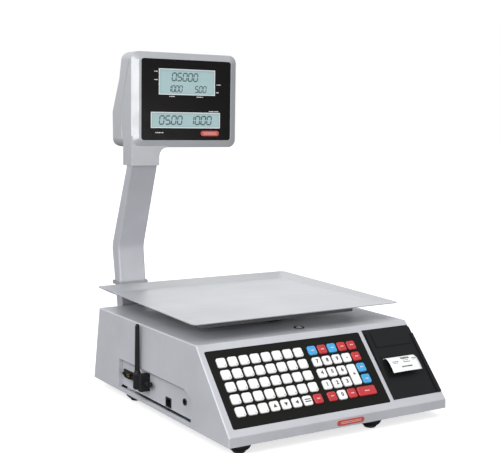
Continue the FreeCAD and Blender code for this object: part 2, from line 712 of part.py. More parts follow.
def grid_of_holes(body, first, pitch_across, columns):
    """Repeat one key hole across the columns and up the rows."""
    grid = body.newObject("PartDesign::MultiTransform", f"{first.Name}_grid")
    grid.Originals = [first]
    across = body.newObject("PartDesign::LinearPattern", f"{first.Name}_across")
    across.Direction = (origin_feature(body, "X_Axis"), [""])
    across.Occurrences = columns
    bind(across, "Length", pitch_across * (columns - 1))
    up = body.newObject("PartDesign::LinearPattern", f"{first.Name}_up")
    up.Direction = (origin_feature(body, "Y_Axis"), [""])
    up.Occurrences = ROWS
    bind(up, "Length", dim("key_pitch_up") * (ROWS - 1))
    grid.Transformations = [across, up]
    body.Tip = grid
    DOC.recompute()


def hole_sketch(body, outline, name):
    gap = dim("fit_gap")
    left, right, low, high = outline
    sketch = new_sketch(body, "XY_Plane", 0, name)
    return draw_rounded(sketch, left - gap, right + gap, low - gap, high + gap, dim("key_corner") + gap)


def make_keypad_frame():
    body = new_body("keypad_frame")
    plate = new_sketch(body, "XY_Plane", -dim("pad_thick"))
    draw_rounded(plate, dim("pad_left"), dim("pad_right"), dim("pad_low"), dim("pad_high"),
                 dim("pad_corner") - dim("fit_gap"))
    pad(body, plate, dim("pad_thick"))
    deep = dim("pad_thick") + 1
    left = pocket(body, hole_sketch(body, left_cell(0, 0), "left_hole"), deep)
    grid_of_holes(body, left, dim("key_pitch_left"), COLUMNS_LEFT)
    right = pocket(body, hole_sketch(body, right_cell(0, 0), "right_hole"), deep)
    grid_of_holes(body, right, dim("key_pitch_right"), COLUMNS_RIGHT)
    groups = key_groups()
    for name in ("tall_key", "enter_key"):
        pocket(body, hole_sketch(body, groups[name][0], f"{name}_hole"), deep)
    return place_on_slope(body)


def make_keypad_mat():
    """The rubber mat: a sheet under the keys with a rim that carries the frame."""
    body = new_body("keypad_mat")
    top = -dim("pad_thick")
    sheet_top = top - 0.1 - dim("key_flange") - dim("key_travel") - 0.1
    block = new_sketch(body, "XY_Plane", sheet_top - dim("mat_thick"))
    draw_rectangle(block, dim("pad_left") + 1, dim("pad_right") - 1, dim("pad_low") + 1, dim("pad_high") - 1)
    pad(body, block, top - sheet_top + dim("mat_thick"))
    well = new_sketch(body, "XY_Plane", top, "well")
    draw_rectangle(well, dim("pad_left") + 4, dim("pad_right") - 4, dim("pad_low") + 4, dim("pad_high") - 4)
    pocket(body, well, top - sheet_top)
    return place_on_slope(body)


def make_keypad_board():
    body = new_body("keypad_board")
    sheet_low = -dim("pad_thick") - 0.2 - dim("key_flange") - dim("key_travel") - dim("mat_thick")
    board = new_sketch(body, "XY_Plane", sheet_low)
    draw_rectangle(board, dim("pad_left") - 3, dim("pad_right") + 3, dim("pad_low") + 6, dim("pad_high") + 1)
    pad(body, board, dim("board_thick"), reverse=True)
    plug = new_sketch(body, "XY_Plane", sheet_low - dim("board_thick"), "plug")
    draw_rectangle(plug, -60, -30, 60, 68)
    pad(body, plug, 6, reverse=True)
    return place_on_slope(body)


# ---------------------------------------------------------------- label printer


def draw_cover_outline(sketch, grow=0, right=None):
    """The cover's outline, with its cut corner; the rebate for it runs on to the side wall.

    The rebate's own corner is cut less, which leaves room for the cover to swing.
    """
    left, low, high = dim("cover_left") - grow, dim("cover_low") - grow, dim("cover_high") + grow
    edge, cut = dim("cover_right") + grow, dim("cover_corner")
    if right:
        cut -= dim("corner_room")
    far = right or edge
    corners = [(left, low), (far, low), (far, high - cut)]
    if right:
        corners.append((edge, high - cut))
    return draw_polygon(sketch, corners + [(edge - cut, high), (left, high)])


def make_printer_cover():
    """The cover over the printer: side rails, a raised hood, the label slot and a tear bar.

    Its top edge is fully rounded: the cover swings about that round edge.
    """
    body = new_body("printer_cover")
    left, right = dim("cover_left"), dim("cover_right")
    low, high = dim("cover_low"), dim("cover_high")
    plate = draw_cover_outline(new_sketch(body, "XY_Plane", -dim("cover_thick")))
    pad(body, plate, dim("cover_thick"))
    on_face = lambda p: near(p.z, 0) or near(p.z, -dim("cover_thick"))
    blend(body, "Fillet", lambda p: near(p.y, high) and on_face(p), dim("cover_thick") / 2 - 0.01)
    rails = new_sketch(body, name="rails")
    draw_polygon(rails, [(left, low + 1), (left + 4, low + 1), (left + 11, high - 8), (left + 3, high - 8)])
    draw_polygon(rails, [(right - 8, low + 1), (right, low + 1), (right, high - 16), (right - 5, high - 16)])
    pad(body, rails, dim("rail_height"))
    hood = new_sketch(body, name="hood")
    draw_rectangle(hood, left + 14, right - 12, dim("slot_up") + 21, high - 6)
    pad(body, hood, dim("rail_height") / 2)
    bar = new_sketch(body, name="tear_bar")
    middle, half = dim("label_x"), dim("slot_width") / 2
    draw_rectangle(bar, middle - half - 2, middle + half + 2, dim("slot_up") + 1, dim("slot_up") + 4.5)
    pad(body, bar, 1)
    slot = new_sketch(body, "XY_Plane", 2, "label_slot")
    draw_rectangle(slot, middle - half, middle + half, dim("slot_up") - dim("slot_gap") / 2,
                   dim("slot_up") + dim("slot_gap") / 2)
    pocket(body, slot, 8)
    return place_on_slope(body)


def ribbon(points):
    """The outline of a thin bent sheet that follows the points."""
    thick = dim("label_thick")
    inner = [(up + thick, out + thick) for up, out in reversed(points)]
    return list(points) + inner


def make_label():
    """The label just printed, curling out of the slot and over the cover."""
    body = new_body("label")
    slot = dim("slot_up") - 0.3
    path = [(slot, as_size(-3)), (slot, as_size(1)), (slot - 1.2, as_size(3.6)),
            (slot - 4, as_size(6)), (slot - 9, as_size(8)), (slot - 16, as_size(9)),
            (slot - 29.5, as_size(9.6))]
    sketch = draw_polygon(new_sketch(body, "YZ_Plane", dim("label_x")), ribbon(path))
    pad(body, sketch, dim("label_width"), both_ways=True)
    return place_on_slope(body)


def make_label_web():
    """Unprinted labels on their way from the roll, between head and platen, to the slot."""
    body = new_body("label_web")
    up, depth, radius = dim("platen_up"), dim("platen_depth"), dim("platen_radius")
    top = radius - depth
    path = [(dim("slot_up"), as_size(-4.5)), (dim("slot_up"), as_size(-11)), (up - 1.5, top + 0.07),
            (up + 11, top + 0.07), (up + 35, as_size(-60))]
    corners = path + [(a + 0.25, b + 0.2) for a, b in reversed(path)]
    sketch = draw_polygon(new_sketch(body, "YZ_Plane", dim("label_x")), corners)
    pad(body, sketch, dim("label_width"), both_ways=True)
    return place_on_slope(body)


def make_printer_chassis():
    """A folded bracket on the tray: two side plates that carry the shafts."""
    body = new_body("printer_chassis")
    left, right, thick = dim("plate_left_x"), dim("plate_right_x"), dim("plate_thick")
    floor = dim("tray_thick")
    outline = [(-145, floor), (-85, floor), (-85, 95), (-141, 95), (-192, 38)]
    for name, x in (("left", left), ("right", right)):
        plate = draw_polygon(new_sketch(body, "YZ_Plane", x, f"{name}_plate"), outline)
        pad(body, plate, thick)
    base = draw_rectangle(new_sketch(body, "XY_Plane", floor, "base"), left, right + thick, -145, -85)
    pad(body, base, thick)
    holes = new_sketch(body, "YZ_Plane", left - 1, "shaft_holes")
    platen_y, platen_z = slope_point(dim("platen_up"), -dim("platen_depth"))
    motor_y, motor_z = slope_point(dim("motor_up"), -dim("motor_depth"))
    draw_circle(holes, platen_y, platen_z, dim("platen_shaft") + dim("running_gap"))
    draw_circle(holes, dim("roll_y"), dim("roll_z"), dim("roll_spindle") + dim("running_gap"))
    draw_circle(holes, motor_y, motor_z, 2.2)
    pocket(body, holes, right - left + thick + 2, reverse=True)
    return body


def make_label_roll():
    """The roll of labels on its spindle; local z is the spindle."""
    body = new_body("label_roll")
    start = dim("label_x") - dim("label_width") / 2
    spindle, paper = dim("roll_spindle"), dim("roll_radius")
    left, right = dim("plate_left_x") - 3, dim("plate_right_x") + dim("plate_thick") + 3
    revolve(body, [(0, left), (spindle, left), (spindle, start - 2), (9.5, start - 2), (9.5, start),
                   (paper, start), (paper, start + dim("label_width")),
                   (9.5, start + dim("label_width")), (9.5, start + dim("label_width") + 2),
                   (spindle, start + dim("label_width") + 2), (spindle, right), (0, right)])
    return place(body, 0, dim("roll_y"), dim("roll_z"), (0, 1, 0), 90)


def add_teeth(body, teeth, start):
    """A spur gear on local z: a blank and a ring of slim teeth that mesh with play."""
    module = dim("gear_module")
    pitch = teeth * module / 2
    blank = draw_circle(new_sketch(body, "XY_Plane", start, "gear_blank"), 0, 0, pitch - module * 1.2)
    pad(body, blank, dim("gear_width"))
    tooth = new_sketch(body, "XY_Plane", start, "gear_tooth")
    draw_polygon(tooth, [(pitch - module * 1.5, -module * 0.9), (pitch, -module * 0.6),
                         (pitch + module * 0.8, -module * 0.3), (pitch + module * 0.8, module * 0.3),
                         (pitch, module * 0.6), (pitch - module * 1.5, module * 0.9)])
    first = pad(body, tooth, dim("gear_width"))
    ring = body.newObject("PartDesign::PolarPattern", f"{body.Name}_teeth")
    ring.Originals = [first]
    ring.Axis = (origin_feature(body, "Z_Axis"), [""])
    ring.Angle = 360
    ring.Occurrences = int(teeth.value)
    body.Tip = ring
    DOC.recompute()


def make_platen():
    """The rubber roller that pulls the labels, with its gear outside the left plate."""
    body = new_body("platen_roller")
    shaft, rubber = dim("platen_shaft"), dim("platen_radius")
    gear_start = dim("plate_left_x") - 1 - dim("gear_width")
    left, right = dim("plate_left_x") + dim("plate_thick") + 1, dim("plate_right_x") - 1
    revolve(body, [(0, gear_start - 1), (shaft, gear_start - 1), (shaft, left), (rubber, left),
                   (rubber, right), (shaft, right), (shaft, right + dim("plate_thick") + 3),
                   (0, right + dim("plate_thick") + 3)])
    add_teeth(body, dim("platen_teeth"), gear_start)
    y, z = slope_point(dim("platen_up"), -dim("platen_depth"))
    return place(body, 0, y, z, (0, 1, 0), 90)


def mesh_turn():
    """The pinion's own turn at rest, so that one of its gaps faces a tooth of the platen's gear."""
    platen_y, platen_z = slope_point(dim("platen_up"), -dim("platen_depth"))
    motor_y, motor_z = slope_point(dim("motor_up"), -dim("motor_depth"))
    line = math.degrees(math.atan2((motor_y - platen_y).value, (platen_z - motor_z).value))
    platen_pitch = 360 / dim("platen_teeth").value
    pinion_pitch = 360 / dim("pinion_teeth").value
    past_tooth = line % platen_pitch
    gap = line + 180 + past_tooth * pinion_pitch / platen_pitch
    return (gap - pinion_pitch / 2) % pinion_pitch


def make_pinion():
    """The motor's small gear; local z is the shaft."""
    body = new_body("motor_pinion")
    gear_start = dim("plate_left_x") - 1 - dim("gear_width")
    shaft = new_sketch(body, "XY_Plane", gear_start, "shaft")
    draw_circle(shaft, 0, 0, 2)
    add_teeth(body, dim("pinion_teeth"), gear_start)
    pad(body, shaft, dim("gear_width") + 1 + dim("plate_thick"))
    y, z = slope_point(dim("motor_up"), -dim("motor_depth"))
    place(body, 0, y, z, (0, 1, 0), 90)
    turn = Rotation(Vector(0, 1, 0), 90) * Rotation(Vector(0, 0, 1), mesh_turn())
    body.Placement = Placement(body.Placement.Base, turn)
    return body


def make_motor():
    body = new_body("stepper_motor")
    start = dim("plate_left_x") + dim("plate_thick") + 0.1
    can = draw_circle(new_sketch(body, "YZ_Plane", start, "can"), 0, 0, dim("motor_radius"))
    pad(body, can, dim("motor_length"))
    plug = draw_rectangle(new_sketch(body, "YZ_Plane", start + dim("motor_length"), "plug"), -5, 5, -9, -3)
    pad(body, plug, 4)
    y, z = slope_point(dim("motor_up"), -dim("motor_depth"))
    return place(body, 0, y, z)


def make_print_head():
    """The thermal head's bar, just above the platen."""
    body = new_body("print_head")
    bottom = dim("platen_radius") - dim("platen_depth") + 0.35
    bar = new_sketch(body, "XY_Plane", bottom)
    draw_rectangle(bar, dim("plate_left_x") + dim("plate_thick"), dim("plate_right_x"),
                   dim("platen_up") - 0.5, dim("platen_up") + 13)
    pad(body, bar, 6)
    sink = new_sketch(body, "XY_Plane", bottom + 6, "heat_sink")
    draw_rectangle(sink, dim("label_x") - 22, dim("label_x") + 22, dim("platen_up") + 3, dim("platen_up") + 11)
    pad(body, sink, 2.5)
    return place_on_slope(body)


# ---------------------------------------------------------------- level and badge


def make_level():
    ring = new_body("level_ring")
    radius, flange = dim("level_radius"), dim("level_flange")
    revolve(ring, [(0, -7), (radius, -7), (radius, 0), (flange, 0), (flange - 0.5, 1.1), (6, 1.1),
                   (6, -6), (0, -6)])
    place(ring, dim("level_x"), dim("level_y"), height)
    vial = new_body("level_vial")
    revolve(vial, [(0, -6), (5.9, -6), (5.9, 0.2), (5, 0.9), (2.8, 1.4), (0, 1.6)])
    place(vial, dim("level_x"), dim("level_y"), height)


def make_badge():
    """A plain badge plate on the front lip."""
    body = new_body("front_badge")
    x, z = dim("badge_x"), dim("badge_z")
    half, tall = dim("badge_width") / 2, dim("badge_height") / 2
    sketch = new_sketch(body, "XZ_Plane", half_depth)
    draw_rounded(sketch, x - half, x + half, z - tall, z + tall, 1.5)
    pad(body, sketch, dim("badge_thick"))
    blend(body, "Chamfer", lambda p: near(p.y, -half_depth - dim("badge_thick")), 0.35)
    return body


# ---------------------------------------------------------------- weighing mechanism


def hub_y():
    """The load cell's free end, where the spider is bolted."""
    return dim("platter_y") - dim("cell_length") / 2 + dim("cell_bolt_in")


def fixed_end_y():
    return dim("platter_y") + dim("cell_length") / 2 - dim("cell_bolt_in")


def bolt_circles(sketch, y, radius):
    for x in (-12, 12):
        for along in (-8, 8):
            draw_circle(sketch, x, y + along, radius)


def make_load_cell():
    """A single-point load cell: an aluminium bar with a double-hole window."""
    body = new_body("load_cell")
    half, low = dim("cell_width") / 2, dim("cell_bottom_z")
    y, reach = dim("platter_y"), dim("cell_length") / 2
    bar = draw_rectangle(new_sketch(body, "XY_Plane", low), -half, half, y - reach, y + reach)
    pad(body, bar, dim("cell_height"))
    window = new_sketch(body, "YZ_Plane", 0, "window")
    middle = low + dim("cell_height") / 2
    for side in (-1, 1):
        draw_circle(window, y + side * 17, middle, 10.5)
    pocket(body, window, dim("cell_width") + 2, both_ways=True)
    web = new_sketch(body, "YZ_Plane", 0, "window_neck")
    draw_rectangle(web, y - 12, y + 12, middle - 4, middle + 4)
    pocket(body, web, dim("cell_width") + 2, both_ways=True)
    bolts = new_sketch(body, "XY_Plane", low, "bolt_holes")
    bolt_circles(bolts, hub_y(), 3 + dim("fit_gap"))
    bolt_circles(bolts, fixed_end_y(), 3 + dim("fit_gap"))
    pocket(body, bolts, dim("cell_height") + 1, reverse=True)
    return body


def make_cell_pedestal():
    """The block that carries the load cell's fixed end, with four studs up into it."""
    body = new_body("load_cell_pedestal")
    half, y = dim("cell_width") / 2, fixed_end_y()
    floor = dim("tray_thick")
    foot = draw_rectangle(new_sketch(body, "XY_Plane", floor, "foot"), -45, 45, y - 20, y + 28)
    pad(body, foot, 5)
    column = draw_rectangle(new_sketch(body, "XY_Plane", floor, "column"), -half, half, y - 14, y + 14)
    pad(body, column, dim("cell_bottom_z") - floor)
    studs = new_sketch(body, "XY_Plane", dim("cell_bottom_z"), "studs")
    bolt_circles(studs, y, 3)
    pad(body, studs, dim("cell_height") + 3)
    return body


def pad_spots():
    return [(sx * dim("pad_x"), dim("platter_y") + sy * dim("pad_y")) for sx in (-1, 1) for sy in (-1, 1)]


def make_spider():
    """The pan support: a hub down through the housing's top and an H of arms under the platter."""
    body = new_body("pan_support")
    bottom = dim("spider_bottom_z")
    top = platter_underside() - dim("pan_pad_thick")
    cell_top = dim("cell_bottom_z") + dim("cell_height")
    middle, half = dim("platter_y"), dim("arm_width") / 2
    arms = new_sketch(body, "XY_Plane", bottom, "spine")
    draw_rectangle(arms, -22, 22, middle - dim("pad_y") - half, middle + dim("pad_y") + half)
    pad(body, arms, top - bottom)
    for name, side in (("front", -1), ("rear", 1)):
        y = middle + side * dim("pad_y")
        arm = new_sketch(body, "XY_Plane", bottom, f"{name}_arm")
        draw_rounded(arm, -dim("pad_x") - half, dim("pad_x") + half, y - half, y + half, half - 0.5)
        pad(body, arm, top - bottom)
    hub = new_sketch(body, "XY_Plane", cell_top + dim("hub_gap"), "hub")
    draw_rectangle(hub, -18, 18, hub_y() - 14, hub_y() + 14)
    pad(body, hub, bottom - cell_top - dim("hub_gap") + 1)
    holes = new_sketch(body, "XY_Plane", cell_top, "bolt_holes")
    bolt_circles(holes, hub_y(), 3)
    pocket(body, holes, top - cell_top + 1, reverse=True)
    heads = new_sketch(body, "XY_Plane", top, "bolt_heads")
    bolt_circles(heads, hub_y(), 5.5)
    pocket(body, heads, 7)
    return body


def make_cell_bolts():
    """Four bolts that hold the hub to the load cell's free end."""
    body = new_body("hub_bolts")
    top = platter_underside() - dim("pan_pad_thick") - 7
    cell_top = dim("cell_bottom_z") + dim("cell_height")
    heads = new_sketch(body, "XY_Plane", top, "heads")
    bolt_circles(heads, hub_y(), 5.2)
    pad(body, heads, 6)
    shanks = new_sketch(body, "XY_Plane", top, "shanks")
    bolt_circles(shanks, hub_y(), 3)
    pad(body, shanks, top - cell_top + 20, reverse=True)
    return body


def make_pan_pads():
    body = new_body("pan_pads")
    sketch = new_sketch(body, "XY_Plane", platter_underside() - dim("pan_pad_thick"))
    for x, y in pad_spots():
        draw_circle(sketch, x, y, dim("pan_pad_radius"))
    pad(body, sketch, dim("pan_pad_thick"))
    return body


def platter_underside():
    return dim("platter_top_z") - dim("rim_rise") - dim("platter_sheet")


def loft(body, kind, sketches):
    """A straight-sided loft from one sketch to the next."""
    feature = body.newObject(f"PartDesign::{kind}", f"{body.Name}_{kind.lower()}")
    feature.Profile = sketches[0]
    feature.Sections = sketches[1:]
    feature.Ruled = True
    DOC.recompute()
    return feature


def platter_outline(body, z, inset, corner, name):
    half, reach = dim("platter_length") / 2 - inset, dim("platter_depth") / 2 - inset
    return draw_rounded(new_sketch(body, "XY_Plane", z, name), -half, half, -reach, reach, corner)


def tilted(sketch):
    """Tip a rim outline so that the platter's rear rim stands higher than its front one."""
    sketch.AttachmentOffset = Placement(sketch.AttachmentOffset.Base,
                                        Rotation(Vector(1, 0, 0), dim("rim_tilt").value))
    bind(sketch, "AttachmentOffset.Rotation.Angle", dim("rim_tilt"), "deg")
    return sketch


def make_platter():
    """A stainless sheet with shallow rims bent up and outwards, highest at the rear."""
    body = new_body("platter")
    sheet, run, corner = dim("platter_sheet"), dim("rim_run"), dim("platter_corner")
    low, top, edge = platter_underside(), dim("platter_top_z"), dim("rim_lip")
    fold = top - sheet
    loft(body, "AdditiveLoft", [platter_outline(body, low, run, 4, "underside"),
                                tilted(platter_outline(body, fold, 0, corner, "rim_underside"))])
    pad(body, tilted(platter_outline(body, fold, 0, corner, "rim")), sheet)
    beyond = (run - edge) / dim("rim_rise")
    loft(body, "SubtractiveLoft", [platter_outline(body, low + sheet, run, 4, "floor"),
                                   tilted(platter_outline(body, top + 1, edge - beyond, corner + 1, "mouth"))])
    return place(body, 0, dim("platter_y"), 0)


# ---------------------------------------------------------------- display post


def post_front():
    """The post's front edge seen from the side, bottom to top, as (y, z)."""
    return [(dim("post_foot_y"), dim("post_bottom_z")), (dim("post_foot_y"), dim("post_knee_z")),
            (dim("post_bend_y"), dim("post_bend_z")), (dim("post_top_y"), dim("post_top_z")),
            (dim("post_top_y"), dim("spigot_top_z"))]


def post_rear():
    """The post's rear edge, bottom to top."""
    foot = dim("post_foot_y") + dim("post_depth")
    bend = dim("post_bend_y") + dim("post_bend_depth")
    top = dim("post_top_y") + dim("post_top_depth")
    return [(foot, dim("post_bottom_z")), (foot, dim("post_knee_z")), (bend, dim("post_bend_z")),
            (top, dim("post_top_z")), (top, dim("spigot_top_z"))]


def make_post():
    """A hollow bent post; its narrowed top is a spigot inside the head's neck."""
    body = new_body("display_post")
    outline = post_front() + post_rear()[::-1]
    pad(body, draw_polygon(new_sketch(body, "YZ_Plane"), outline), dim("post_width"), both_ways=True)
    bends = post_front()[1:4] + post_rear()[1:4]
    at_bend = lambda p: near(p.x, 0) and any(near(p.y, y) and near(p.z, z) for y, z in bends)
    blend(body, "Fillet", at_bend, dim("post_bend_round"))
    low = dim("post_bottom_z").value
    blend(body, "Fillet", lambda p: near(abs(p.x), dim("post_width") / 2) and
          low + 1 < p.z < dim("spigot_top_z").value - 1, dim("post_round"))
    shoulder = new_sketch(body, "XZ_Plane", 0, "shoulders")
    for side in (-1, 1):
        inner, outer = side * dim("spigot_width") / 2, side * (dim("post_width") / 2 + 1)
        corners = [(inner, dim("post_top_z")), (outer, dim("post_top_z")),
                   (outer, dim("spigot_top_z") + 1), (inner, dim("spigot_top_z") + 1)]
        draw_polygon(shoulder, corners if side > 0 else corners[::-1])
    pocket(body, shoulder, 600, both_ways=True)
    gap = dim("post_wall")
    front = [(y + gap, z) for y, z in post_front()]
    rear = [(y - gap, z) for y, z in post_rear()]
    front[0] = (front[0][0], front[0][1] - 1)
    rear[0] = (rear[0][0], rear[0][1] - 1)
    front[-1] = (front[-1][0], front[-1][1] + 1)
    rear[-1] = (rear[-1][0], rear[-1][1] + 1)
    hollow = draw_polygon(new_sketch(body, "YZ_Plane", name="hollow"), front + rear[::-1])
    pocket(body, hollow, dim("spigot_width") - 2 * gap, both_ways=True)
    holes = new_sketch(body, "XZ_Plane", -dim("post_foot_y") + 1, "screw_holes")
    for x, z in POST_SCREWS:
        draw_circle(holes, x, z, dim("screw_radius") + dim("fit_gap"))
    pocket(body, holes, gap + 4)
    return place(body, dim("post_x"), 0, 0)


def make_post_bracket():
    """The wedge between the leaning rear wall and the upright foot of the post."""
    body = new_body("post_bracket")
    low, top, face = dim("post_bottom_z") + 2, dim("post_knee_z") - 1, dim("post_foot_y")
    outline = [(rear_wall_y(low), low), (face, low), (face, top), (rear_wall_y(top), top)]
    pad(body, draw_polygon(new_sketch(body, "YZ_Plane"), outline), dim("post_width") - 4, both_ways=True)
    holes = new_sketch(body, "XZ_Plane", -rear_wall_y(height, 5), "screw_holes")
    for x, z in POST_SCREWS:
        draw_circle(holes, x, z, dim("screw_radius") + dim("fit_gap"))
    pocket(body, holes, 40)
    return place(body, dim("post_x"), 0, 0)


def make_collar():
    """The dark collar round the post just above the platter's level."""
    body = new_body("post_collar")
    low, tall = dim("collar_bottom_z"), dim("collar_height")
    share = (low - dim("post_knee_z")) / (dim("post_bend_z") - dim("post_knee_z"))
    front = dim("post_foot_y") + (dim("post_bend_y") - dim("post_foot_y")) * share - 0.3
    rear = front + dim("post_depth") + (dim("post_bend_depth") - dim("post_depth")) * share + 3.2
    half, more = dim("post_width") / 2 + 0.3, dim("collar_lip")
    ring = new_sketch(body, "XY_Plane", low)
    draw_rounded(ring, -half - more, half + more, front - more, rear + more, 3)
    pad(body, ring, tall)
    hole = new_sketch(body, "XY_Plane", low + tall, "post_hole")
    draw_rectangle(hole, -half, half, front, rear)
    pocket(body, hole, tall + 1)
    return place(body, dim("post_x"), 0, 0)


# ---------------------------------------------------------------- display head


def seam_line():
    """The joint between the head's two shells, top to bottom, as (y, z)."""
    return [(as_size(187), dim("head_top_z")), (as_size(212.5), as_size(498.5)),
            (as_size(224), as_size(434)), (as_size(218), dim("head_bottom_z"))]


def rear_line():
    """The head's back seen from the side, top to bottom."""
    return [(as_size(216), dim("head_top_z")), (as_size(222), as_size(550)), (as_size(231), as_size(512)),
            (as_size(258), as_size(455)), (as_size(256), as_size(400)), (as_size(252), dim("head_bottom_z"))]


def head_outline(body, y, inset, corner, name):
    """The head seen from the front, as a sketch at one depth."""
    half = dim("head_width") / 2
    sketch = new_sketch(body, "XZ_Plane", -as_size(y), name)
    return draw_rounded(sketch, inset - half, half - inset, dim("head_bottom_z") + inset,
                        dim("head_top_z") - inset, corner)


def cut_beyond(body, line, y, name):
    """Trim a shell along a line seen from the side; what lies on the line's far side goes."""
    above, below = dim("head_top_z") + 1, dim("head_bottom_z") - 1
    corners = [(line[0][0], above)] + line + [(line[-1][0], below), (as_size(y), below), (as_size(y), above)]
    pocket(body, draw_polygon(new_sketch(body, "YZ_Plane", name=name), corners),
           dim("head_width") + 10, both_ways=True)


def make_front_shell():
    """The operator's half of the head, with its bevelled front and the neck below."""
    body = new_body("head_front_shell")
    front, low, thick = dim("head_front_y"), dim("head_bottom_z"), dim("head_wall")
    bevel, corner = front + dim("head_bevel_back"), dim("head_corner")
    loft(body, "AdditiveLoft", [head_outline(body, front, dim("head_bevel_in"), 5, "face"),
                                head_outline(body, bevel, 0, corner, "bevel")])
    pad(body, head_outline(body, bevel, 0, corner, "rim"), 45, reverse=True)
    cut_beyond(body, seam_line(), 300, "seam")

    left = dim("neck_left_x") - dim("head_x")
    right, start, turn = left + dim("neck_width"), dim("neck_front_y"), dim("neck_round")
    corners = [(left, low + 20), (left, dim("post_top_z")), (right, dim("post_top_z"))]
    for step in range(5):
        lean = math.radians(22.5 * step)
        corners.append((right + turn * (1 - math.cos(lean)), low - turn * (1 - math.sin(lean))))
    corners += [(right + turn, low + 3), (right - 5, low + 20)]
    neck = draw_polygon(new_sketch(body, "XZ_Plane", -start, "neck"), corners)
    pad(body, neck, dim("neck_rear_y") - start, reverse=True)

    pocket(body, head_outline(body, front + thick, dim("head_bevel_in"), 4, "cavity_front"), 60)
    pocket(body, head_outline(body, bevel + 1.5, thick, corner - thick, "cavity"), 60)
    bore = new_sketch(body, "XY_Plane", dim("post_top_z"), "neck_bore")
    draw_rectangle(bore, left + thick, right - thick, start + thick, dim("neck_rear_y") - thick)
    pocket(body, bore, low - dim("post_top_z") + 10, reverse=True)

    window = new_sketch(body, "XZ_Plane", -front + 1, "window_opening")
    gap, middle = dim("fit_gap"), dim("window_x") - dim("head_x")
    reach = dim("window_width") / 2 + gap
    draw_rounded(window, middle - reach, middle + reach, dim("window_low_z") - gap,
                 dim("window_high_z") + gap, dim("window_corner"))
    pocket(body, window, 2 * thick)
    return place(body, dim("head_x"), 0, 0)


def make_rear_shell():
    """The customer's half of the head: a hollow shell with a leaning back."""
    body = new_body("head_rear_shell")
    thick, low, top = dim("head_wall"), dim("head_bottom_z"), dim("head_top_z")
    corner = dim("head_corner")
    pad(body, head_outline(body, 186, 0, corner, "block"), 75, reverse=True)
    cut_beyond(body, seam_line(), 100, "seam")
    cut_beyond(body, rear_line(), 320, "back")
    inside = [(y - thick, z) for y, z in rear_line()]
    middle = [(as_size(100), top - thick), (inside[0][0], top - thick)] + inside[1:-1]
    middle += [(inside[-1][0], low + thick), (as_size(100), low + thick)]
    sides = [(as_size(100), top - corner), (as_size(221), top - corner)] + inside[2:4]
    sides += [(inside[4][0], low + corner), (as_size(100), low + corner)]
    for name, corners, inset in (("middle", middle, corner), ("sides", sides, thick)):
        sketch = draw_polygon(new_sketch(body, "YZ_Plane", name=f"{name}_cavity"), corners)
        pocket(body, sketch, dim("head_width") - 2 * inset, both_ways=True)
    return place(body, dim("head_x"), 0, 0)


def lcd_sizes():
    """Centre, width and height of the two panes on the operator's side."""
    return {name: (dim(f"{name}_lcd_x"), dim(f"{name}_lcd_z"), dim(f"{name}_lcd_width"),
                   dim(f"{name}_lcd_height")) for name in ("upper", "lower")}


def make_front_window():
    """The black window with one opening for each pane."""
    body = new_body("front_window")
    face = -dim("head_front_y") - 0.4
    half = dim("window_width") / 2
    x = dim("window_x")
    sheet = new_sketch(body, "XZ_Plane", face)
    draw_rounded(sheet, x - half, x + half, dim("window_low_z"), dim("window_high_z"),
                 dim("window_corner") - dim("fit_gap"))
    pad(body, sheet, dim("window_thick"), reverse=True)
    holes = new_sketch(body, "XZ_Plane", face + 1, "pane_openings")
    for x, z, width, tall in lcd_sizes().values():
        gap = dim("fit_gap") / 2
        draw_rectangle(holes, x - width / 2 - gap, x + width / 2 + gap, z - tall / 2 - gap, z + tall / 2 + gap)
    pocket(body, holes, dim("window_thick") + 2)
    return body


def make_lcds():
    face = -dim("head_front_y") - 0.9
    for name, (x, z, width, tall) in lcd_sizes().items():
        body = new_body(f"lcd_{name}")
        pane = new_sketch(body, "XZ_Plane", face)
        draw_rectangle(pane, x - width / 2, x + width / 2, z - tall / 2, z + tall / 2)
        pad(body, pane, dim("lcd_thick"), reverse=True)


def make_display_board():
    body = new_body("display_board")
    x, face = dim("window_x"), -dim("head_front_y") - 4.5
    board = new_sketch(body, "XZ_Plane", face)
    draw_rectangle(board, x - 80, x + 80, dim("window_low_z") + 2, dim("window_high_z") - 4)
    pad(body, board, dim("board_thick"), reverse=True)
    chips = new_sketch(body, "XZ_Plane", face - dim("board_thick"), "chips")
    draw_rectangle(chips, x - 20, x + 10, 430, 442)
    draw_rectangle(chips, x + 30, x + 44, 455, 469)
    pad(body, chips, 3, reverse=True)
    return body


def place_on_back(body):
    """The customer's side: local x across, y up the leaning back, z out of it."""
    (top_y, top_z), (low_y, low_z) = rear_line()[2:4]
    lean = math.degrees(math.atan2((top_z - low_z).value, (low_y - top_y).value))
    place(body, dim("head_x"), (top_y + low_y) / 2, (top_z + low_z) / 2)
    turn = Rotation(Vector(0, 0, 1), 180) * Rotation(Vector(1, 0, 0), lean)
    body.Placement = Placement(body.Placement.Base, turn)
    return body


def make_rear_display():
    """The customer's display on the head's back."""
    window = new_body("rear_window")
    half, tall = dim("rear_window_width") / 2, dim("rear_window_height") / 2
    pad(window, draw_rounded(new_sketch(window), -half, half, -tall, tall, 3), 1.2)
    opening = draw_rectangle(new_sketch(window, "XY_Plane", 2, "pane_opening"), -62, 62, -17, 17)
    pocket(window, opening, 4)
    blend(window, "Chamfer", lambda p: near(p.z, 1.2) and abs(p.x) > 70, 0.4)
    place_on_back(window)
    pane = new_body("lcd_rear")
    pad(pane, draw_rectangle(new_sketch(pane), -61.9, 61.9, -16.9, 16.9), 0.9)
    place_on_back(pane)


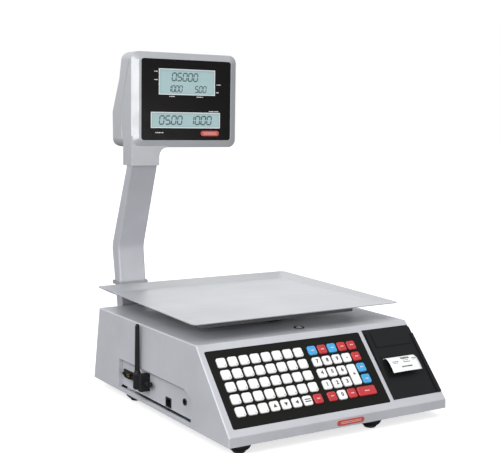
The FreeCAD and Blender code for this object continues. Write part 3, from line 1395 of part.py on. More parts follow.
def make_main_board():
    """The main circuit board on four stand-offs in the tray."""
    body = new_body("main_board")
    floor, lift = dim("tray_thick"), 12
    board = draw_rectangle(new_sketch(body, "XY_Plane", floor + lift, "board"), -165, -60, -85, 75)
    pad(body, board, dim("board_thick"))
    legs = new_sketch(body, "XY_Plane", floor, "stand_offs")
    for x in (-160, -65):
        for y in (-80, 70):
            draw_circle(legs, x, y, 3)
    pad(body, legs, lift)
    chips = new_sketch(body, "XY_Plane", floor + lift + dim("board_thick"), "chips")
    draw_rectangle(chips, -130, -105, -20, 5)
    draw_rectangle(chips, -95, -80, 20, 45)
    draw_rectangle(chips, -150, -110, 40, 55)
    pad(body, chips, 4)
    return body


def make_scale():
    make_housing()
    make_tray()
    make_feet()
    make_screws()
    make_io_panel()
    make_serial_port()
    make_network_port()
    make_power_jack()
    make_adapter()
    make_aerial()
    make_badge()
    make_level()
    make_keypad_frame()
    make_keys()
    make_keypad_mat()
    make_keypad_board()
    make_printer_cover()
    make_label()
    make_label_web()
    make_printer_chassis()
    make_label_roll()
    make_platen()
    make_pinion()
    make_motor()
    make_print_head()
    make_main_board()
    make_load_cell()
    make_cell_pedestal()
    make_spider()
    make_cell_bolts()
    make_pan_pads()
    make_platter()
    make_post()
    make_post_bracket()
    make_collar()
    make_front_shell()
    make_rear_shell()
    make_front_window()
    make_lcds()
    make_display_board()
    make_rear_display()


def check_and_export():
    """Every object must be healthy and every shape valid before anything is written."""
    DOC.recompute()
    for item in DOC.Objects:
        broken = [state for state in item.State if state in ("Invalid", "Error")]
        assert not broken, f"{item.Label}: {broken}"
    os.makedirs(PARTS_FOLDER, exist_ok=True)
    for node in NODES:
        shape = node.Shape
        assert not shape.isNull() and shape.isValid(), f"{node.Label} has no valid shape"
        assert shape.Solids, f"{node.Label} has no solid"
        shape.exportStep(f"{PARTS_FOLDER}/{node.Label}.step")
        print(f"{node.Label}: {len(shape.Solids)} solid(s), {shape.Volume:.1f} mm3")


make_scale()
check_and_export()
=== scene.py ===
import json
import math
import random

import bmesh
import bpy
from mathutils import Matrix, Vector


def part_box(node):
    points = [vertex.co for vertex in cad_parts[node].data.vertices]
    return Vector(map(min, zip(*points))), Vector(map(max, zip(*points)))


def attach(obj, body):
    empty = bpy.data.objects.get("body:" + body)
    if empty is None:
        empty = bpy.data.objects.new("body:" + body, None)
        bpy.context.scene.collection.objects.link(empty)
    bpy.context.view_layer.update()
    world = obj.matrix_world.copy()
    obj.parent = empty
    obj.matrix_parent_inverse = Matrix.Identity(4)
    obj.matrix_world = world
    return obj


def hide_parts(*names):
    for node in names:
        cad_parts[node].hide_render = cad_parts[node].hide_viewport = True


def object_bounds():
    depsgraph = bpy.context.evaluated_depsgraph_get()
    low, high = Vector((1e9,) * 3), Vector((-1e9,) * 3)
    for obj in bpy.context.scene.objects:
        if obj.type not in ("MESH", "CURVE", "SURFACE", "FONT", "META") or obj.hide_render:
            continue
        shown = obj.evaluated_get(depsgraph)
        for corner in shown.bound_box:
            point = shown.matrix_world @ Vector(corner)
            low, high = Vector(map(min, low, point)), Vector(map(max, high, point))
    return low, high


# Looks of a retail price scale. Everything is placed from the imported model, in metres.

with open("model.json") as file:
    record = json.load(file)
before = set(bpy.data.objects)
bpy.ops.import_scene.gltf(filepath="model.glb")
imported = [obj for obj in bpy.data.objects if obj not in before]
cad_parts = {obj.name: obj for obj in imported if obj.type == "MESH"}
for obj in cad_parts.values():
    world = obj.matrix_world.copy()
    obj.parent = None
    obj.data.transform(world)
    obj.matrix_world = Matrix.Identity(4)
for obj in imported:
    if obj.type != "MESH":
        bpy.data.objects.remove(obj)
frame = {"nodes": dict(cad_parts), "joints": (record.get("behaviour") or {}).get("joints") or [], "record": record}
CAD_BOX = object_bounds()
NODES = frame["nodes"]
JOINTS = {joint["name"]: joint for joint in frame["joints"]}
MM = 0.001
FULL_TURN = 6.2832
WOUND_PITCH = 0.0009
random.seed(11)

# ---------------------------------------------------------------- the slope's own frame

OUT = -Vector(JOINTS["zero_key_press"]["axis"]).normalized()
ACROSS = Vector((1, 0, 0))
UP = OUT.cross(ACROSS)


def slope_origin():
    """The point in the middle of the slope's lower edge."""
    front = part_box("upper_housing")[0].y
    level = max(vertex.co.dot(OUT) for vertex in NODES["keypad_frame"].data.vertices)
    return Vector((0, front, (level - OUT.y * front) / OUT.z))


ORIGIN = slope_origin()


def on_slope(across, up, out):
    return ORIGIN + ACROSS * across + UP * up + OUT * out


def slope_coordinates(point):
    offset = point - ORIGIN
    return offset.x, offset.dot(UP), offset.dot(OUT)


def slope_box(node):
    """Extents of a node in the slope's frame: (across), (up), (out)."""
    rows = [slope_coordinates(vertex.co) for vertex in NODES[node].data.vertices]
    return [(min(column), max(column)) for column in zip(*rows)]


# ---------------------------------------------------------------- materials


class Paint:
    """A node-based material while it is being put together."""

    def __init__(self, name, **settings):
        self.material = bpy.data.materials.new(name)
        self.material.use_nodes = True
        self.tree = self.material.node_tree
        self.tree.nodes.clear()
        output = self.add("ShaderNodeOutputMaterial")
        self.surface = self.add("ShaderNodeBsdfPrincipled")
        self.tree.links.new(self.surface.outputs[0], output.inputs["Surface"])
        self.coords = self.add("ShaderNodeTexCoord").outputs["Object"]
        self.normal = None
        for key, value in settings.items():
            self.set(key.replace("_", " ").title().replace("Ior", "IOR"), value)

    def add(self, kind, **inputs):
        node = self.tree.nodes.new(kind)
        for key, value in inputs.items():
            self.feed(node.inputs[key.replace("_", " ")], value)
        return node

    def feed(self, socket, value):
        if isinstance(value, bpy.types.NodeSocket):
            self.tree.links.new(value, socket)
        elif isinstance(value, tuple) and len(value) == 3 and socket.type == "RGBA":
            socket.default_value = (*value, 1)
        else:
            socket.default_value = value

    def set(self, name, value):
        self.feed(self.surface.inputs[name], value)
        return self

    def stretched(self, stretch, shift=(0, 0, 0)):
        return self.add("ShaderNodeMapping", Vector=self.coords, Scale=stretch,
                        Location=shift).outputs["Vector"]

    def noise(self, scale, detail=3.0, rough=0.55, stretch=(1, 1, 1)):
        return self.add("ShaderNodeTexNoise", Vector=self.stretched(stretch), Scale=scale,
                        Detail=detail, Roughness=rough).outputs["Fac"]

    def cells(self, scale, stretch=(1, 1, 1), output="Distance"):
        return self.add("ShaderNodeTexVoronoi", Vector=self.stretched(stretch),
                        Scale=scale).outputs[output]

    def level(self, value, low, high, start=0.3, end=0.7):
        """Maps a texture's useful range to low..high."""
        node = self.add("ShaderNodeMapRange", Value=value)
        node.inputs["From Min"].default_value = start
        node.inputs["From Max"].default_value = end
        node.inputs["To Min"].default_value = low
        node.inputs["To Max"].default_value = high
        return node.outputs["Result"]

    def math(self, operation, first, second=0.0):
        node = self.tree.nodes.new("ShaderNodeMath")
        node.operation = operation
        self.feed(node.inputs[0], first)
        self.feed(node.inputs[1], second)
        return node.outputs[0]

    def blend(self, share, first, second):
        node = self.tree.nodes.new("ShaderNodeMix")
        node.data_type = "RGBA"
        self.feed(node.inputs[0], share)
        self.feed(node.inputs[6], first)
        self.feed(node.inputs[7], second)
        return node.outputs[2]

    def bump(self, height, distance, strength=1.0):
        node = self.add("ShaderNodeBump", Height=height, Distance=distance, Strength=strength)
        if self.normal is not None:
            self.tree.links.new(self.normal, node.inputs["Normal"])
        self.normal = node.outputs["Normal"]
        self.set("Normal", self.normal)
        return self

    def edges(self, radius):
        """Near 1 along outer edges: where paint rubs off first, and where key caps get their painted shade."""
        bevel = self.add("ShaderNodeBevel", Radius=radius)
        bevel.samples = 4
        flat = self.add("ShaderNodeNewGeometry").outputs["Normal"]
        node = self.tree.nodes.new("ShaderNodeVectorMath")
        node.operation = "DOT_PRODUCT"
        self.tree.links.new(bevel.outputs["Normal"], node.inputs[0])
        self.tree.links.new(flat, node.inputs[1])
        return self.level(self.math("SUBTRACT", 1.0, node.outputs["Value"]), 0.0, 1.0, 0.01, 0.2)

    def radius_from(self, centre, keep=(1, 1, 1)):
        """Distance in metres from a line or point; keep is 0 along a line's own axis."""
        moved = self.stretched(keep, tuple(-c * k for c, k in zip(centre, keep)))
        node = self.tree.nodes.new("ShaderNodeVectorMath")
        node.operation = "LENGTH"
        self.tree.links.new(moved, node.inputs[0])
        return node.outputs["Value"]


def shade(colour, factor):
    return tuple(min(1.0, channel * factor) for channel in colour)


def moulded(name, colour, rough, metallic=0.0, grain=0.00004, size=1400.0, wear=0.25, coat=0.0,
            sheen=0.5):
    """Moulded or painted plastic: fine grain, slow colour drift, paler rubbed edges, faint dust."""
    paint = Paint(name, metallic=metallic)
    paint.set("Specular IOR Level", sheen)
    drift = paint.noise(14.0, 4.0)
    fleck = paint.noise(900.0, 2.0)
    body = paint.blend(paint.level(drift, 0.0, 1.0), shade(colour, 0.94), shade(colour, 1.05))
    body = paint.blend(paint.level(fleck, 0.0, 0.35, 0.45, 0.75), body, shade(colour, 1.16))
    rubbed = paint.math("MULTIPLY", paint.edges(0.0009), paint.level(paint.noise(120.0), 0.2, wear * 2))
    paint.set("Base Color", paint.blend(rubbed, body, shade(colour, 1.5)))
    smear = paint.noise(38.0, 6.0, 0.65)
    paint.set("Roughness", paint.level(smear, rough - 0.06, rough + 0.08))
    if coat:
        paint.set("Coat Weight", coat)
        paint.set("Coat Roughness", 0.18)
    paint.bump(paint.cells(size), grain, 0.35)
    return paint.bump(paint.noise(60.0), 0.00012, 0.12).material


def brushed(name, colour, rough, stretch, metallic=1.0, spots=0.1):
    """Brushed sheet: long fine scratches one way, wiping marks and a few darker specks."""
    paint = Paint(name, metallic=metallic)
    line = paint.noise(1.0, 5.0, 0.7, stretch)
    coarse = paint.noise(1.0, 2.0, 0.5, tuple(value * 0.22 for value in stretch))
    wiped = paint.noise(9.0, 5.0, 0.6)
    body = paint.blend(paint.level(line, 0.0, 1.0), shade(colour, 0.9), shade(colour, 1.08))
    body = paint.blend(paint.level(coarse, 0.0, 0.4), body, shade(colour, 1.1))
    speck = paint.level(paint.noise(260.0, 2.0), 0.0, spots, 0.68, 0.8)
    paint.set("Base Color", paint.blend(speck, body, shade(colour, 0.5)))
    hazy = paint.level(wiped, rough - 0.05, rough + 0.08)
    paint.set("Roughness", paint.math("ADD", hazy, paint.level(line, -0.04, 0.05)))
    return paint.bump(line, 0.00002, 0.5).material


def galvanised():
    paint = Paint("galvanised_sheet", metallic=0.9)
    spangle = paint.cells(70.0, output="Color")
    value = paint.add("ShaderNodeSeparateColor", Color=spangle).outputs[0]
    paint.set("Base Color", paint.blend(value, (0.42, 0.43, 0.45), (0.62, 0.63, 0.66)))
    paint.set("Roughness", paint.level(value, 0.34, 0.52, 0.0, 1.0))
    return paint.bump(paint.noise(300.0), 0.00003, 0.3).material


def rubber(name, colour=(0.022, 0.022, 0.023), ribs=0.0):
    paint = Paint(name)
    dust = paint.noise(55.0, 6.0, 0.7)
    dusty = paint.level(dust, 0.0, 0.7, 0.45, 0.75)
    paint.set("Base Color", paint.blend(dusty, colour, shade(colour, 3.2)))
    paint.set("Roughness", paint.level(dust, 0.62, 0.85))
    paint.set("Specular IOR Level", 0.35)
    if ribs:
        height = paint.add("ShaderNodeSeparateXYZ", Vector=paint.coords).outputs["Z"]
        wave = paint.math("SINE", paint.math("MULTIPLY", height, FULL_TURN / ribs))
        paint.bump(wave, 0.0002, 0.5)
    return paint.bump(paint.cells(1800.0), 0.00005, 0.5).material


def domed_key(name, colour):
    """Glossy injection-moulded cap, with painted shade round the edge of its dome."""
    paint = Paint(name)
    drift = paint.noise(90.0, 3.0)
    # Painted shade: the cap darkens towards the edge of its dome.
    painted_dome_shade = paint.math("MULTIPLY", paint.edges(0.0016), 0.75)
    body = paint.blend(paint.level(drift, 0.0, 1.0), shade(colour, 0.9), shade(colour, 1.1))
    paint.set("Base Color", paint.blend(painted_dome_shade, body, shade(colour, 0.35)))
    paint.set("Roughness", paint.level(paint.noise(240.0, 4.0), 0.24, 0.4))
    paint.set("Coat Weight", 0.5)
    paint.set("Coat Roughness", 0.15)
    return paint.bump(paint.noise(500.0), 0.00004, 0.25).material


def white_key(name, colour=(0.86, 0.86, 0.84)):
    """Off-white caps, a little greyer here and there, with painted shade low on their sides and round their edges.
    """
    paint = Paint(name)
    _, _, (low, high) = slope_box("plu_keys_row_3")
    depth = paint.tree.nodes.new("ShaderNodeVectorMath")
    depth.operation = "DOT_PRODUCT"
    paint.tree.links.new(paint.coords, depth.inputs[0])
    depth.inputs[1].default_value = tuple(OUT)
    base = ORIGIN.dot(OUT)
    # Painted shade low on the cap's sides, near the frame and between the keys, broken up by noise.
    side = paint.level(depth.outputs["Value"], 1.0, 0.0, base + low * 0.3, base + high * 0.85)
    painted_side_shade = paint.math("MULTIPLY", side, paint.level(paint.noise(160.0, 4.0), 0.45, 1.0))
    touch = paint.level(paint.noise(70.0, 5.0), 0.0, 0.16, 0.45, 0.75)
    body = paint.blend(touch, colour, (0.74, 0.73, 0.69))
    # Painted shade round the cap's rounded edges.
    painted_cap_edge_shade = paint.math("MULTIPLY", paint.edges(0.0014), 0.55)
    body = paint.blend(painted_side_shade, body, (0.42, 0.42, 0.41))
    paint.set("Base Color", paint.blend(painted_cap_edge_shade, body, (0.50, 0.50, 0.50)))
    paint.set("Roughness", paint.level(paint.noise(200.0), 0.38, 0.55))
    paint.set("Subsurface Weight", 0.08)
    paint.set("Subsurface Radius", (0.002, 0.002, 0.002))
    paint.set("Subsurface Scale", 0.5)
    return paint.bump(paint.cells(1500.0), 0.00002, 0.3).material


def circuit_board():
    """Solder mask over copper traces with tinned pads."""
    paint = Paint("circuit_board")
    brick = paint.add("ShaderNodeTexBrick", Vector=paint.stretched((1, 1, 1)), Scale=180.0)
    brick.inputs["Mortar Size"].default_value = 0.045
    trace = brick.outputs["Fac"]
    body = paint.blend(trace, (0.012, 0.11, 0.045), (0.03, 0.2, 0.08))
    pads = paint.level(paint.cells(260.0), 1.0, 0.0, 0.1, 0.14)
    paint.set("Base Color", paint.blend(pads, body, (0.62, 0.6, 0.52)))
    paint.set("Metallic", paint.math("MULTIPLY", pads, 0.8))
    paint.set("Roughness", paint.level(paint.noise(120.0), 0.3, 0.42))
    return paint.bump(trace, 0.00004, 0.6).material


def black_window():
    paint = Paint("window_acrylic")
    smear = paint.noise(24.0, 7.0, 0.7, (1, 1, 1.6))
    speck = paint.level(paint.noise(700.0, 2.0), 0.0, 0.2, 0.7, 0.85)
    paint.set("Base Color", paint.blend(speck, (0.0075, 0.0065, 0.0068), (0.03, 0.03, 0.03)))
    paint.set("Roughness", paint.level(smear, 0.16, 0.30))
    paint.set("Specular IOR Level", 0.13)
    return paint.bump(paint.noise(40.0), 0.00005, 0.1).material


def lcd_pane(name, node):
    """Pale reflective pane: fine pixel grid, a painted shadow towards its border and a faint painted glow."""
    paint = Paint(name)
    low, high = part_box(node)
    centre, half = (low + high) / 2, (high - low) / 2
    split = paint.add("ShaderNodeSeparateXYZ", Vector=paint.coords)
    ways = []
    for axis, output in ((0, "X"), (2, "Z")):
        offset = paint.math("ABSOLUTE", paint.math("SUBTRACT", split.outputs[output], centre[axis]))
        ways.append(paint.level(offset, 0.0, 1.0, half[axis] - 0.0045, half[axis]))
    # Painted shadow of the frame along the pane's border.
    rim = paint.math("MAXIMUM", ways[0], ways[1])
    grid = paint.cells(2400.0)
    body = paint.blend(paint.level(grid, 0.0, 0.3), (0.30, 0.43, 0.43), (0.34, 0.47, 0.47))
    body = paint.blend(paint.level(paint.noise(30.0), 0.0, 0.4), body, (0.37, 0.47, 0.51))
    body = paint.blend(paint.math("MULTIPLY", rim, 0.45), body, (0.23, 0.34, 0.34))
    paint.set("Base Color", body)
    # A faint glow in the pane's own colour: painted light, as the pane has no lamp.
    paint.set("Emission Color", body)
    paint.set("Emission Strength", 0.25)
    paint.set("Roughness", paint.level(paint.noise(300.0), 0.3, 0.42))
    return paint.bump(grid, 0.00001, 0.2).material


def paper(name="label_paper"):
    paint = Paint(name)
    fibre = paint.noise(600.0, 5.0, 0.7, (1, 3, 1))
    pale = paint.level(fibre, 0.0, 1.0)
    paint.set("Base Color", paint.blend(pale, (0.82, 0.82, 0.80), (0.92, 0.92, 0.90)))
    paint.set("Roughness", paint.level(fibre, 0.5, 0.68))
    return paint.bump(fibre, 0.00002, 0.4).material


def wound_paper():
    """The roll: rings of wound paper on its ends."""
    paint = Paint("wound_paper")
    pivot = JOINTS["label_roll_spin"]["pos_m"]
    away = paint.radius_from(pivot, (0, 1, 1))
    rings = paint.math("SINE", paint.math("MULTIPLY", away, FULL_TURN / WOUND_PITCH))
    core = paint.level(away, 1.0, 0.0, 0.0094, 0.0097)
    body = paint.blend(paint.level(rings, 0.0, 0.5, -1, 1), (0.86, 0.86, 0.83), (0.66, 0.66, 0.63))
    paint.set("Base Color", paint.blend(core, body, (0.25, 0.19, 0.12)))
    paint.set("Roughness", paint.level(paint.noise(300.0), 0.55, 0.7))
    return paint.bump(rings, 0.00008, 0.4).material


def level_glass():
    """Pale liquid with a painted ring, and its bubble drawn as painted light and shade."""
    paint = Paint("level_liquid", roughness=0.08)
    low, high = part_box("level_vial")
    middle = (low + high) / 2
    away = paint.radius_from((middle.x, middle.y, 0), (1, 1, 0))
    bubble = paint.radius_from((middle.x + 0.0006, middle.y + 0.0004, 0), (1, 1, 0))
    line = paint.math("LESS_THAN", paint.math("ABSOLUTE", paint.math("SUBTRACT", away, 0.0031)), 0.00022)
    # The bubble: a paler inside and a darker edge, painted light and shade for light bending through it.
    inside = paint.level(bubble, 1.0, 0.0, 0.0019, 0.0022)
    rim = paint.math("MULTIPLY", inside, paint.level(bubble, 0.0, 1.0, 0.0014, 0.0020))
    body = paint.blend(paint.level(paint.noise(300.0), 0.0, 1.0), (0.84, 0.90, 0.80), (0.90, 0.94, 0.86))
    body = paint.blend(inside, body, (0.93, 0.95, 0.92))
    body = paint.blend(rim, body, (0.40, 0.46, 0.34))
    paint.set("Base Color", paint.blend(line, body, (0.03, 0.03, 0.03)))
    paint.set("Coat Weight", 1.0)
    return paint.bump(inside, 0.0002, 0.4).material


def plated(name, colour, rough=0.22):
    paint = Paint(name, metallic=1.0)
    worn = paint.noise(220.0, 5.0, 0.7)
    paint.set("Base Color", paint.blend(paint.level(worn, 0.0, 1.0), shade(colour, 0.75), colour))
    paint.set("Roughness", paint.level(worn, rough - 0.06, rough + 0.16))
    return paint.bump(paint.noise(900.0), 0.00002, 0.3).material


def ink(name, colour, rough=0.6):
    """Printed ink: slightly broken where it was rubbed."""
    paint = Paint(name)
    worn = paint.noise(500.0, 4.0, 0.7)
    broken = paint.level(worn, 0.0, 0.5, 0.5, 0.8)
    paint.set("Base Color", paint.blend(broken, colour, shade(colour, 1.6)))
    paint.set("Roughness", paint.level(worn, rough - 0.1, rough + 0.1))
    return paint.bump(worn, 0.00001, 0.3).material


SILVER = (0.53, 0.54, 0.565)
MATERIALS = {
    "silver_housing": moulded("silver_housing", SILVER, 0.42, metallic=0.25),
    "silver_post": moulded("silver_post", (0.455, 0.46, 0.49), 0.46, metallic=0.2, grain=0.00002),
    "silver_head": moulded("silver_head", (0.47, 0.48, 0.495), 0.36, metallic=0.3, coat=0.2),
    "galvanised": galvanised(),
    "platter_steel": brushed("platter_steel", (0.66, 0.67, 0.68), 0.40, (7, 700, 700), metallic=0.9),
    "aluminium": brushed("machined_aluminium", (0.72, 0.73, 0.75), 0.30, (500, 12, 500)),
    "dark_casting": moulded("dark_casting", (0.10, 0.10, 0.108), 0.55, grain=0.0002, size=500.0),
    "screw_steel": plated("zinc_plate", (0.62, 0.62, 0.60), 0.3),
    "black_plastic": moulded("black_plastic", (0.012, 0.012, 0.013), 0.42, grain=0.00006, wear=0.5,
                             sheen=0.2),
    "keypad_black": moulded("keypad_black", (0.0080, 0.0080, 0.0070), 0.5, grain=0.00005, size=1800.0,
                            sheen=0.12),
    "printer_black": moulded("printer_black", (0.0085, 0.0095, 0.0105), 0.34, grain=0.00005, sheen=0.2),
    "key_white": white_key("key_white"),
    "key_red": domed_key("key_red", (0.49, 0.020, 0.024)),
    "key_blue": domed_key("key_blue", (0.045, 0.35, 0.66)),
    "rubber": rubber("black_rubber", ribs=0.0022),
    "mat_rubber": rubber("mat_rubber", (0.08, 0.08, 0.085)),
    "board_green": circuit_board(),
    "black_window": black_window(),
    "label_paper": paper(),
    "badge_grey": brushed("badge_plate", (0.16, 0.17, 0.19), 0.35, (9, 500, 900)),
    "vial": level_glass(),
    "motor_metal": moulded("motor_can", (0.18, 0.18, 0.19), 0.4, metallic=0.8),
}
OWN_MATERIALS = {
    "label_roll": wound_paper(),
    "lcd_upper": lcd_pane("pane_upper", "lcd_upper"),
    "lcd_lower": lcd_pane("pane_lower", "lcd_lower"),
    "lcd_rear": lcd_pane("pane_rear", "lcd_rear"),
    "plu_keys_row_5": white_key("key_white_lower"),
    "post_collar": moulded("collar_grey", (0.27, 0.275, 0.29), 0.5),
}


def dress_nodes():
    for part in frame["record"]["subparts"]:
        node = NODES[part["node"]]
        material = OWN_MATERIALS.get(part["node"]) or MATERIALS[part["material_slot"]]
        node.data.materials.clear()
        node.data.materials.append(material)


dress_nodes()

# ---------------------------------------------------------------- mesh helpers


def finish_piece(name, shape, material, body, smooth=False, bevel=0.0):
    """Turn a bmesh into a piece that rides on a body."""
    bmesh.ops.remove_doubles(shape, verts=shape.verts, dist=1e-7)
    bmesh.ops.recalc_face_normals(shape, faces=shape.faces)
    mesh = bpy.data.meshes.new(name)
    shape.to_mesh(mesh)
    shape.free()
    piece = bpy.data.objects.new(name, mesh)
    bpy.context.scene.collection.objects.link(piece)
    mesh.materials.append(material)
    for polygon in mesh.polygons:
        polygon.use_smooth = smooth
    if bevel:
        modifier = piece.modifiers.new("bevel", "BEVEL")
        modifier.width = bevel
        modifier.segments = 2
        modifier.limit_method = "ANGLE"
    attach(piece, body)
    return piece


def slab(shape, outline, put, low, high):
    """A closed plate: an outline in a plane, from height low to height high. put maps to space."""
    bottom = [shape.verts.new(put(x, y, low)) for x, y in outline]
    top = [shape.verts.new(put(x, y, high)) for x, y in outline]
    shape.faces.new(bottom[::-1])
    shape.faces.new(top)
    for index in range(len(outline)):
        after = (index + 1) % len(outline)
        shape.faces.new((bottom[index], bottom[after], top[after], top[index]))


def bar(shape, put, x, y, width, height, low, high):
    half, tall = width / 2, height / 2
    slab(shape, [(x - half, y - tall), (x + half, y - tall), (x + half, y + tall), (x - half, y + tall)],
         put, low, high)


def pill(x, y, half, tall, steps=12):
    """An outline with round ends; half and tall are half its width and height."""
    turns = [math.radians(-90 + 180 * step / steps) for step in range(steps + 1)]
    right = [(x + half - tall + tall * math.cos(turn), y + tall * math.sin(turn)) for turn in turns]
    left = [(x - half + tall - tall * math.cos(turn), y - tall * math.sin(turn)) for turn in turns]
    return right + left


def skin(shape, loops):
    """Faces between each loop of vertices and the next one."""
    for first, second in zip(loops, loops[1:]):
        for index in range(len(first)):
            after = (index + 1) % len(first)
            shape.faces.new((first[index], first[after], second[after], second[index]))


def full_circle(sides):
    return [2 * math.pi * step / sides for step in range(sides)]


def ring(shape, put, outer, inner, low, high):
    """A rectangular frame; outer and inner are (centre x, centre y, half width, half height)."""
    corners = ((-1, -1), (1, -1), (1, 1), (-1, 1))
    loops = []
    for (x, y, half, tall), level in ((outer, low), (outer, high), (inner, high), (inner, low)):
        loops.append([shape.verts.new(put(x + sx * half, y + sy * tall, level)) for sx, sy in corners])
    skin(shape, loops + loops[:1])


def tube(shape, start, end, radius, sides=10):
    """A closed round bar between two points, with a small rounded shoulder at each end."""
    axis = (end - start).normalized()
    side = axis.orthogonal().normalized()
    other = axis.cross(side)
    shoulder = axis * radius * 0.25
    loops = []
    for centre, share in ((start, 0.75), (start + shoulder, 1.0), (end - shoulder, 1.0), (end, 0.75)):
        spokes = [(side * math.cos(turn) + other * math.sin(turn)) * radius * share
                  for turn in full_circle(sides)]
        loops.append([shape.verts.new(centre + spoke) for spoke in spokes])
    skin(shape, loops)
    shape.faces.new(loops[0][::-1])
    shape.faces.new(loops[-1])


def glyph(shape, text, size, put, x, y, low, high):
    """Generic numerals as closed raised shapes."""
    curve = bpy.data.curves.new("glyph", "FONT")
    curve.body, curve.size, curve.extrude = text, size, 0.5
    curve.align_x, curve.align_y = "CENTER", "CENTER"
    curve.offset = 0.00038
    curve.resolution_u = 3
    holder = bpy.data.objects.new("glyph", curve)
    bpy.context.scene.collection.objects.link(holder)
    depsgraph = bpy.context.evaluated_depsgraph_get()
    mesh = bpy.data.meshes.new_from_object(holder.evaluated_get(depsgraph))
    for vertex in mesh.vertices:
        level = high if vertex.co.z > 0 else low
        vertex.co = put(x + vertex.co.x, y + vertex.co.y, level)
    shape.from_mesh(mesh)
    bpy.data.objects.remove(holder)
    bpy.data.curves.remove(curve)
    bpy.data.meshes.remove(mesh)


# ---------------------------------------------------------------- key legends

FLANGE = 0.9 * MM
INK_LOW, INK_HIGH = -0.02 * MM, 0.05 * MM
TICK_HIGH = 0.04 * MM
PLAIN_KEYS = 3
SYMBOLS = (((-3.2, -2.4), (3.2, -2.4), (0, 3.4)), ((0, -3.4), (3.2, 2.4), (-3.2, 2.4)),
           ((-3.4, 0), (2.4, -3.2), (2.4, 3.2)))


def key_caps(node):
    """Every cap of a key node: centre across, centre up, half width, half height, top."""
    shape = bmesh.new()
    shape.from_mesh(NODES[node].data)
    bmesh.ops.remove_doubles(shape, verts=shape.verts, dist=1e-6)
    shape.verts.ensure_lookup_table()
    seen, caps = set(), []
    for start in shape.verts:
        if start in seen:
            continue
        island, queue = [], [start]
        seen.add(start)
        while queue:
            vertex = queue.pop()
            island.append(slope_coordinates(vertex.co))
            for edge in vertex.link_edges:
                other = edge.other_vert(vertex)
                if other not in seen:
                    seen.add(other)
                    queue.append(other)
        (left, right), (low, high), (_, top) = [(min(c), max(c)) for c in zip(*island)]
        caps.append(((left + right) / 2, (low + high) / 2, (right - left) / 2 - FLANGE,
                     (high - low) / 2 - FLANGE, top))
    shape.free()
    return sorted(caps, key=lambda cap: (round(-cap[1], 4), cap[0]))


INK_DARK = ink("legend_dark", (0.045, 0.045, 0.05))
INK_WHITE = ink("legend_white", (0.85, 0.85, 0.84))
INK_PALE = ink("legend_pale", (0.80, 0.56, 0.54))


def key_put(cap):
    """Maps a spot on one cap to space; heights are above the cap's flat top."""
    across, up, _, _, top = cap
    return lambda x, y, lift: on_slope(across + x, up + y, top + lift)


def key_tick(shape, put):
    """The short stroke at the lower right of a preset key."""
    bar(shape, put, 4.0 * MM, -5.2 * MM, 2.6 * MM, 0.7 * MM, INK_LOW, TICK_HIGH)


def preset_legends(node):
    """Preset keys: a small number-like tick at the lower right of each cap."""
    shape = bmesh.new()
    for cap in key_caps(node):
        put = key_put(cap)
        key_tick(shape, put)
        bar(shape, put, 5.0 * MM, -3.9 * MM, 0.8 * MM, 0.8 * MM, INK_LOW, TICK_HIGH)
    finish_piece(f"legend_{node}", shape, INK_DARK, node)


def lower_row_legends(node):
    """The bottom row: three presets, three keys with a symbol, one with two lines."""
    shape = bmesh.new()
    for index, cap in enumerate(key_caps(node)):
        put = key_put(cap)
        if index < PLAIN_KEYS:
            key_tick(shape, put)
        elif index < PLAIN_KEYS + len(SYMBOLS):
            corners = [(x * MM, y * MM) for x, y in SYMBOLS[index - PLAIN_KEYS]]
            slab(shape, corners, put, INK_LOW, INK_HIGH)
        else:
            for y in (1.7, -1.7):
                bar(shape, put, 0, y * MM, 10.5 * MM, 1.7 * MM, INK_LOW, INK_HIGH)
    finish_piece(f"legend_{node}", shape, INK_DARK, node)


def numeral_legends(node, texts):
    shape = bmesh.new()
    for cap, text in zip(key_caps(node), texts):
        glyph(shape, text, 8.4 * MM, key_put(cap), 0, 0.2 * MM, INK_LOW, INK_HIGH)
    finish_piece(f"legend_{node}", shape, INK_DARK, node)


def function_legends(node, width=6.0):
    """One short line of print across the middle, made of a few strokes."""
    shape = bmesh.new()
    for index, cap in enumerate(key_caps(node)):
        count = 3 + index % 2
        pitch = width * MM / count
        for stroke in range(count):
            x, y = (stroke - (count - 1) / 2) * pitch, 0.3 * MM * (index % 3 - 1)
            bar(shape, key_put(cap), x, y, pitch * 0.78, 1.5 * MM, INK_LOW, INK_HIGH)
    finish_piece(f"legend_{node}", shape, INK_PALE, node)


for row in range(1, 5):
    preset_legends(f"plu_keys_row_{row}")
lower_row_legends("plu_keys_row_5")
numeral_legends("digit_keys_upper", "789-")
numeral_legends("digit_keys_middle", "456")
numeral_legends("digit_keys_lower", "123")
numeral_legends("zero_key", "0")
numeral_legends("tall_key", "+")
for name in ("function_keys_red", "function_keys_blue"):
    function_legends(name)
function_legends("enter_key", 9.0)

# ---------------------------------------------------------------- printed label


def label_curve():
    """The label's middle line in the slope's frame, from inside the slot to its free end."""
    _, (low, high), (inner, outer) = slope_box("label")
    run, rise = high - low, outer
    # How far each bend lies from the slot, and how high it stands, as shares of the whole.
    bends = ((0.01, 0.18), (0.075, 0.5), (0.2, 0.76), (0.40, 0.92), (0.66, 0.99))
    knots = [(high, inner), (high, inner * 0.3)]
    knots += [(high - back * run, rise * lift) for back, lift in bends]
    knots.append((low, rise * 0.965))
    points = []
    for index in range(len(knots) - 1):
        a, b, c, d = (knots[min(max(index + k, 0), len(knots) - 1)] for k in (-1, 0, 1, 2))
        for step in range(7):
            t = step / 7
            points.append(tuple(0.5 * (2 * q + (r - p) * t + (2 * p - 5 * q + 4 * r - s) * t * t
                                       + (3 * q - p - 3 * r + s) * t ** 3)
                                for p, q, r, s in zip(a, b, c, d)))
    return points + [knots[-1]]


CURVE = label_curve()
CURVE_LENGTHS = [0.0]
for first, second in zip(CURVE, CURVE[1:]):
    CURVE_LENGTHS.append(CURVE_LENGTHS[-1] + math.dist(first, second))


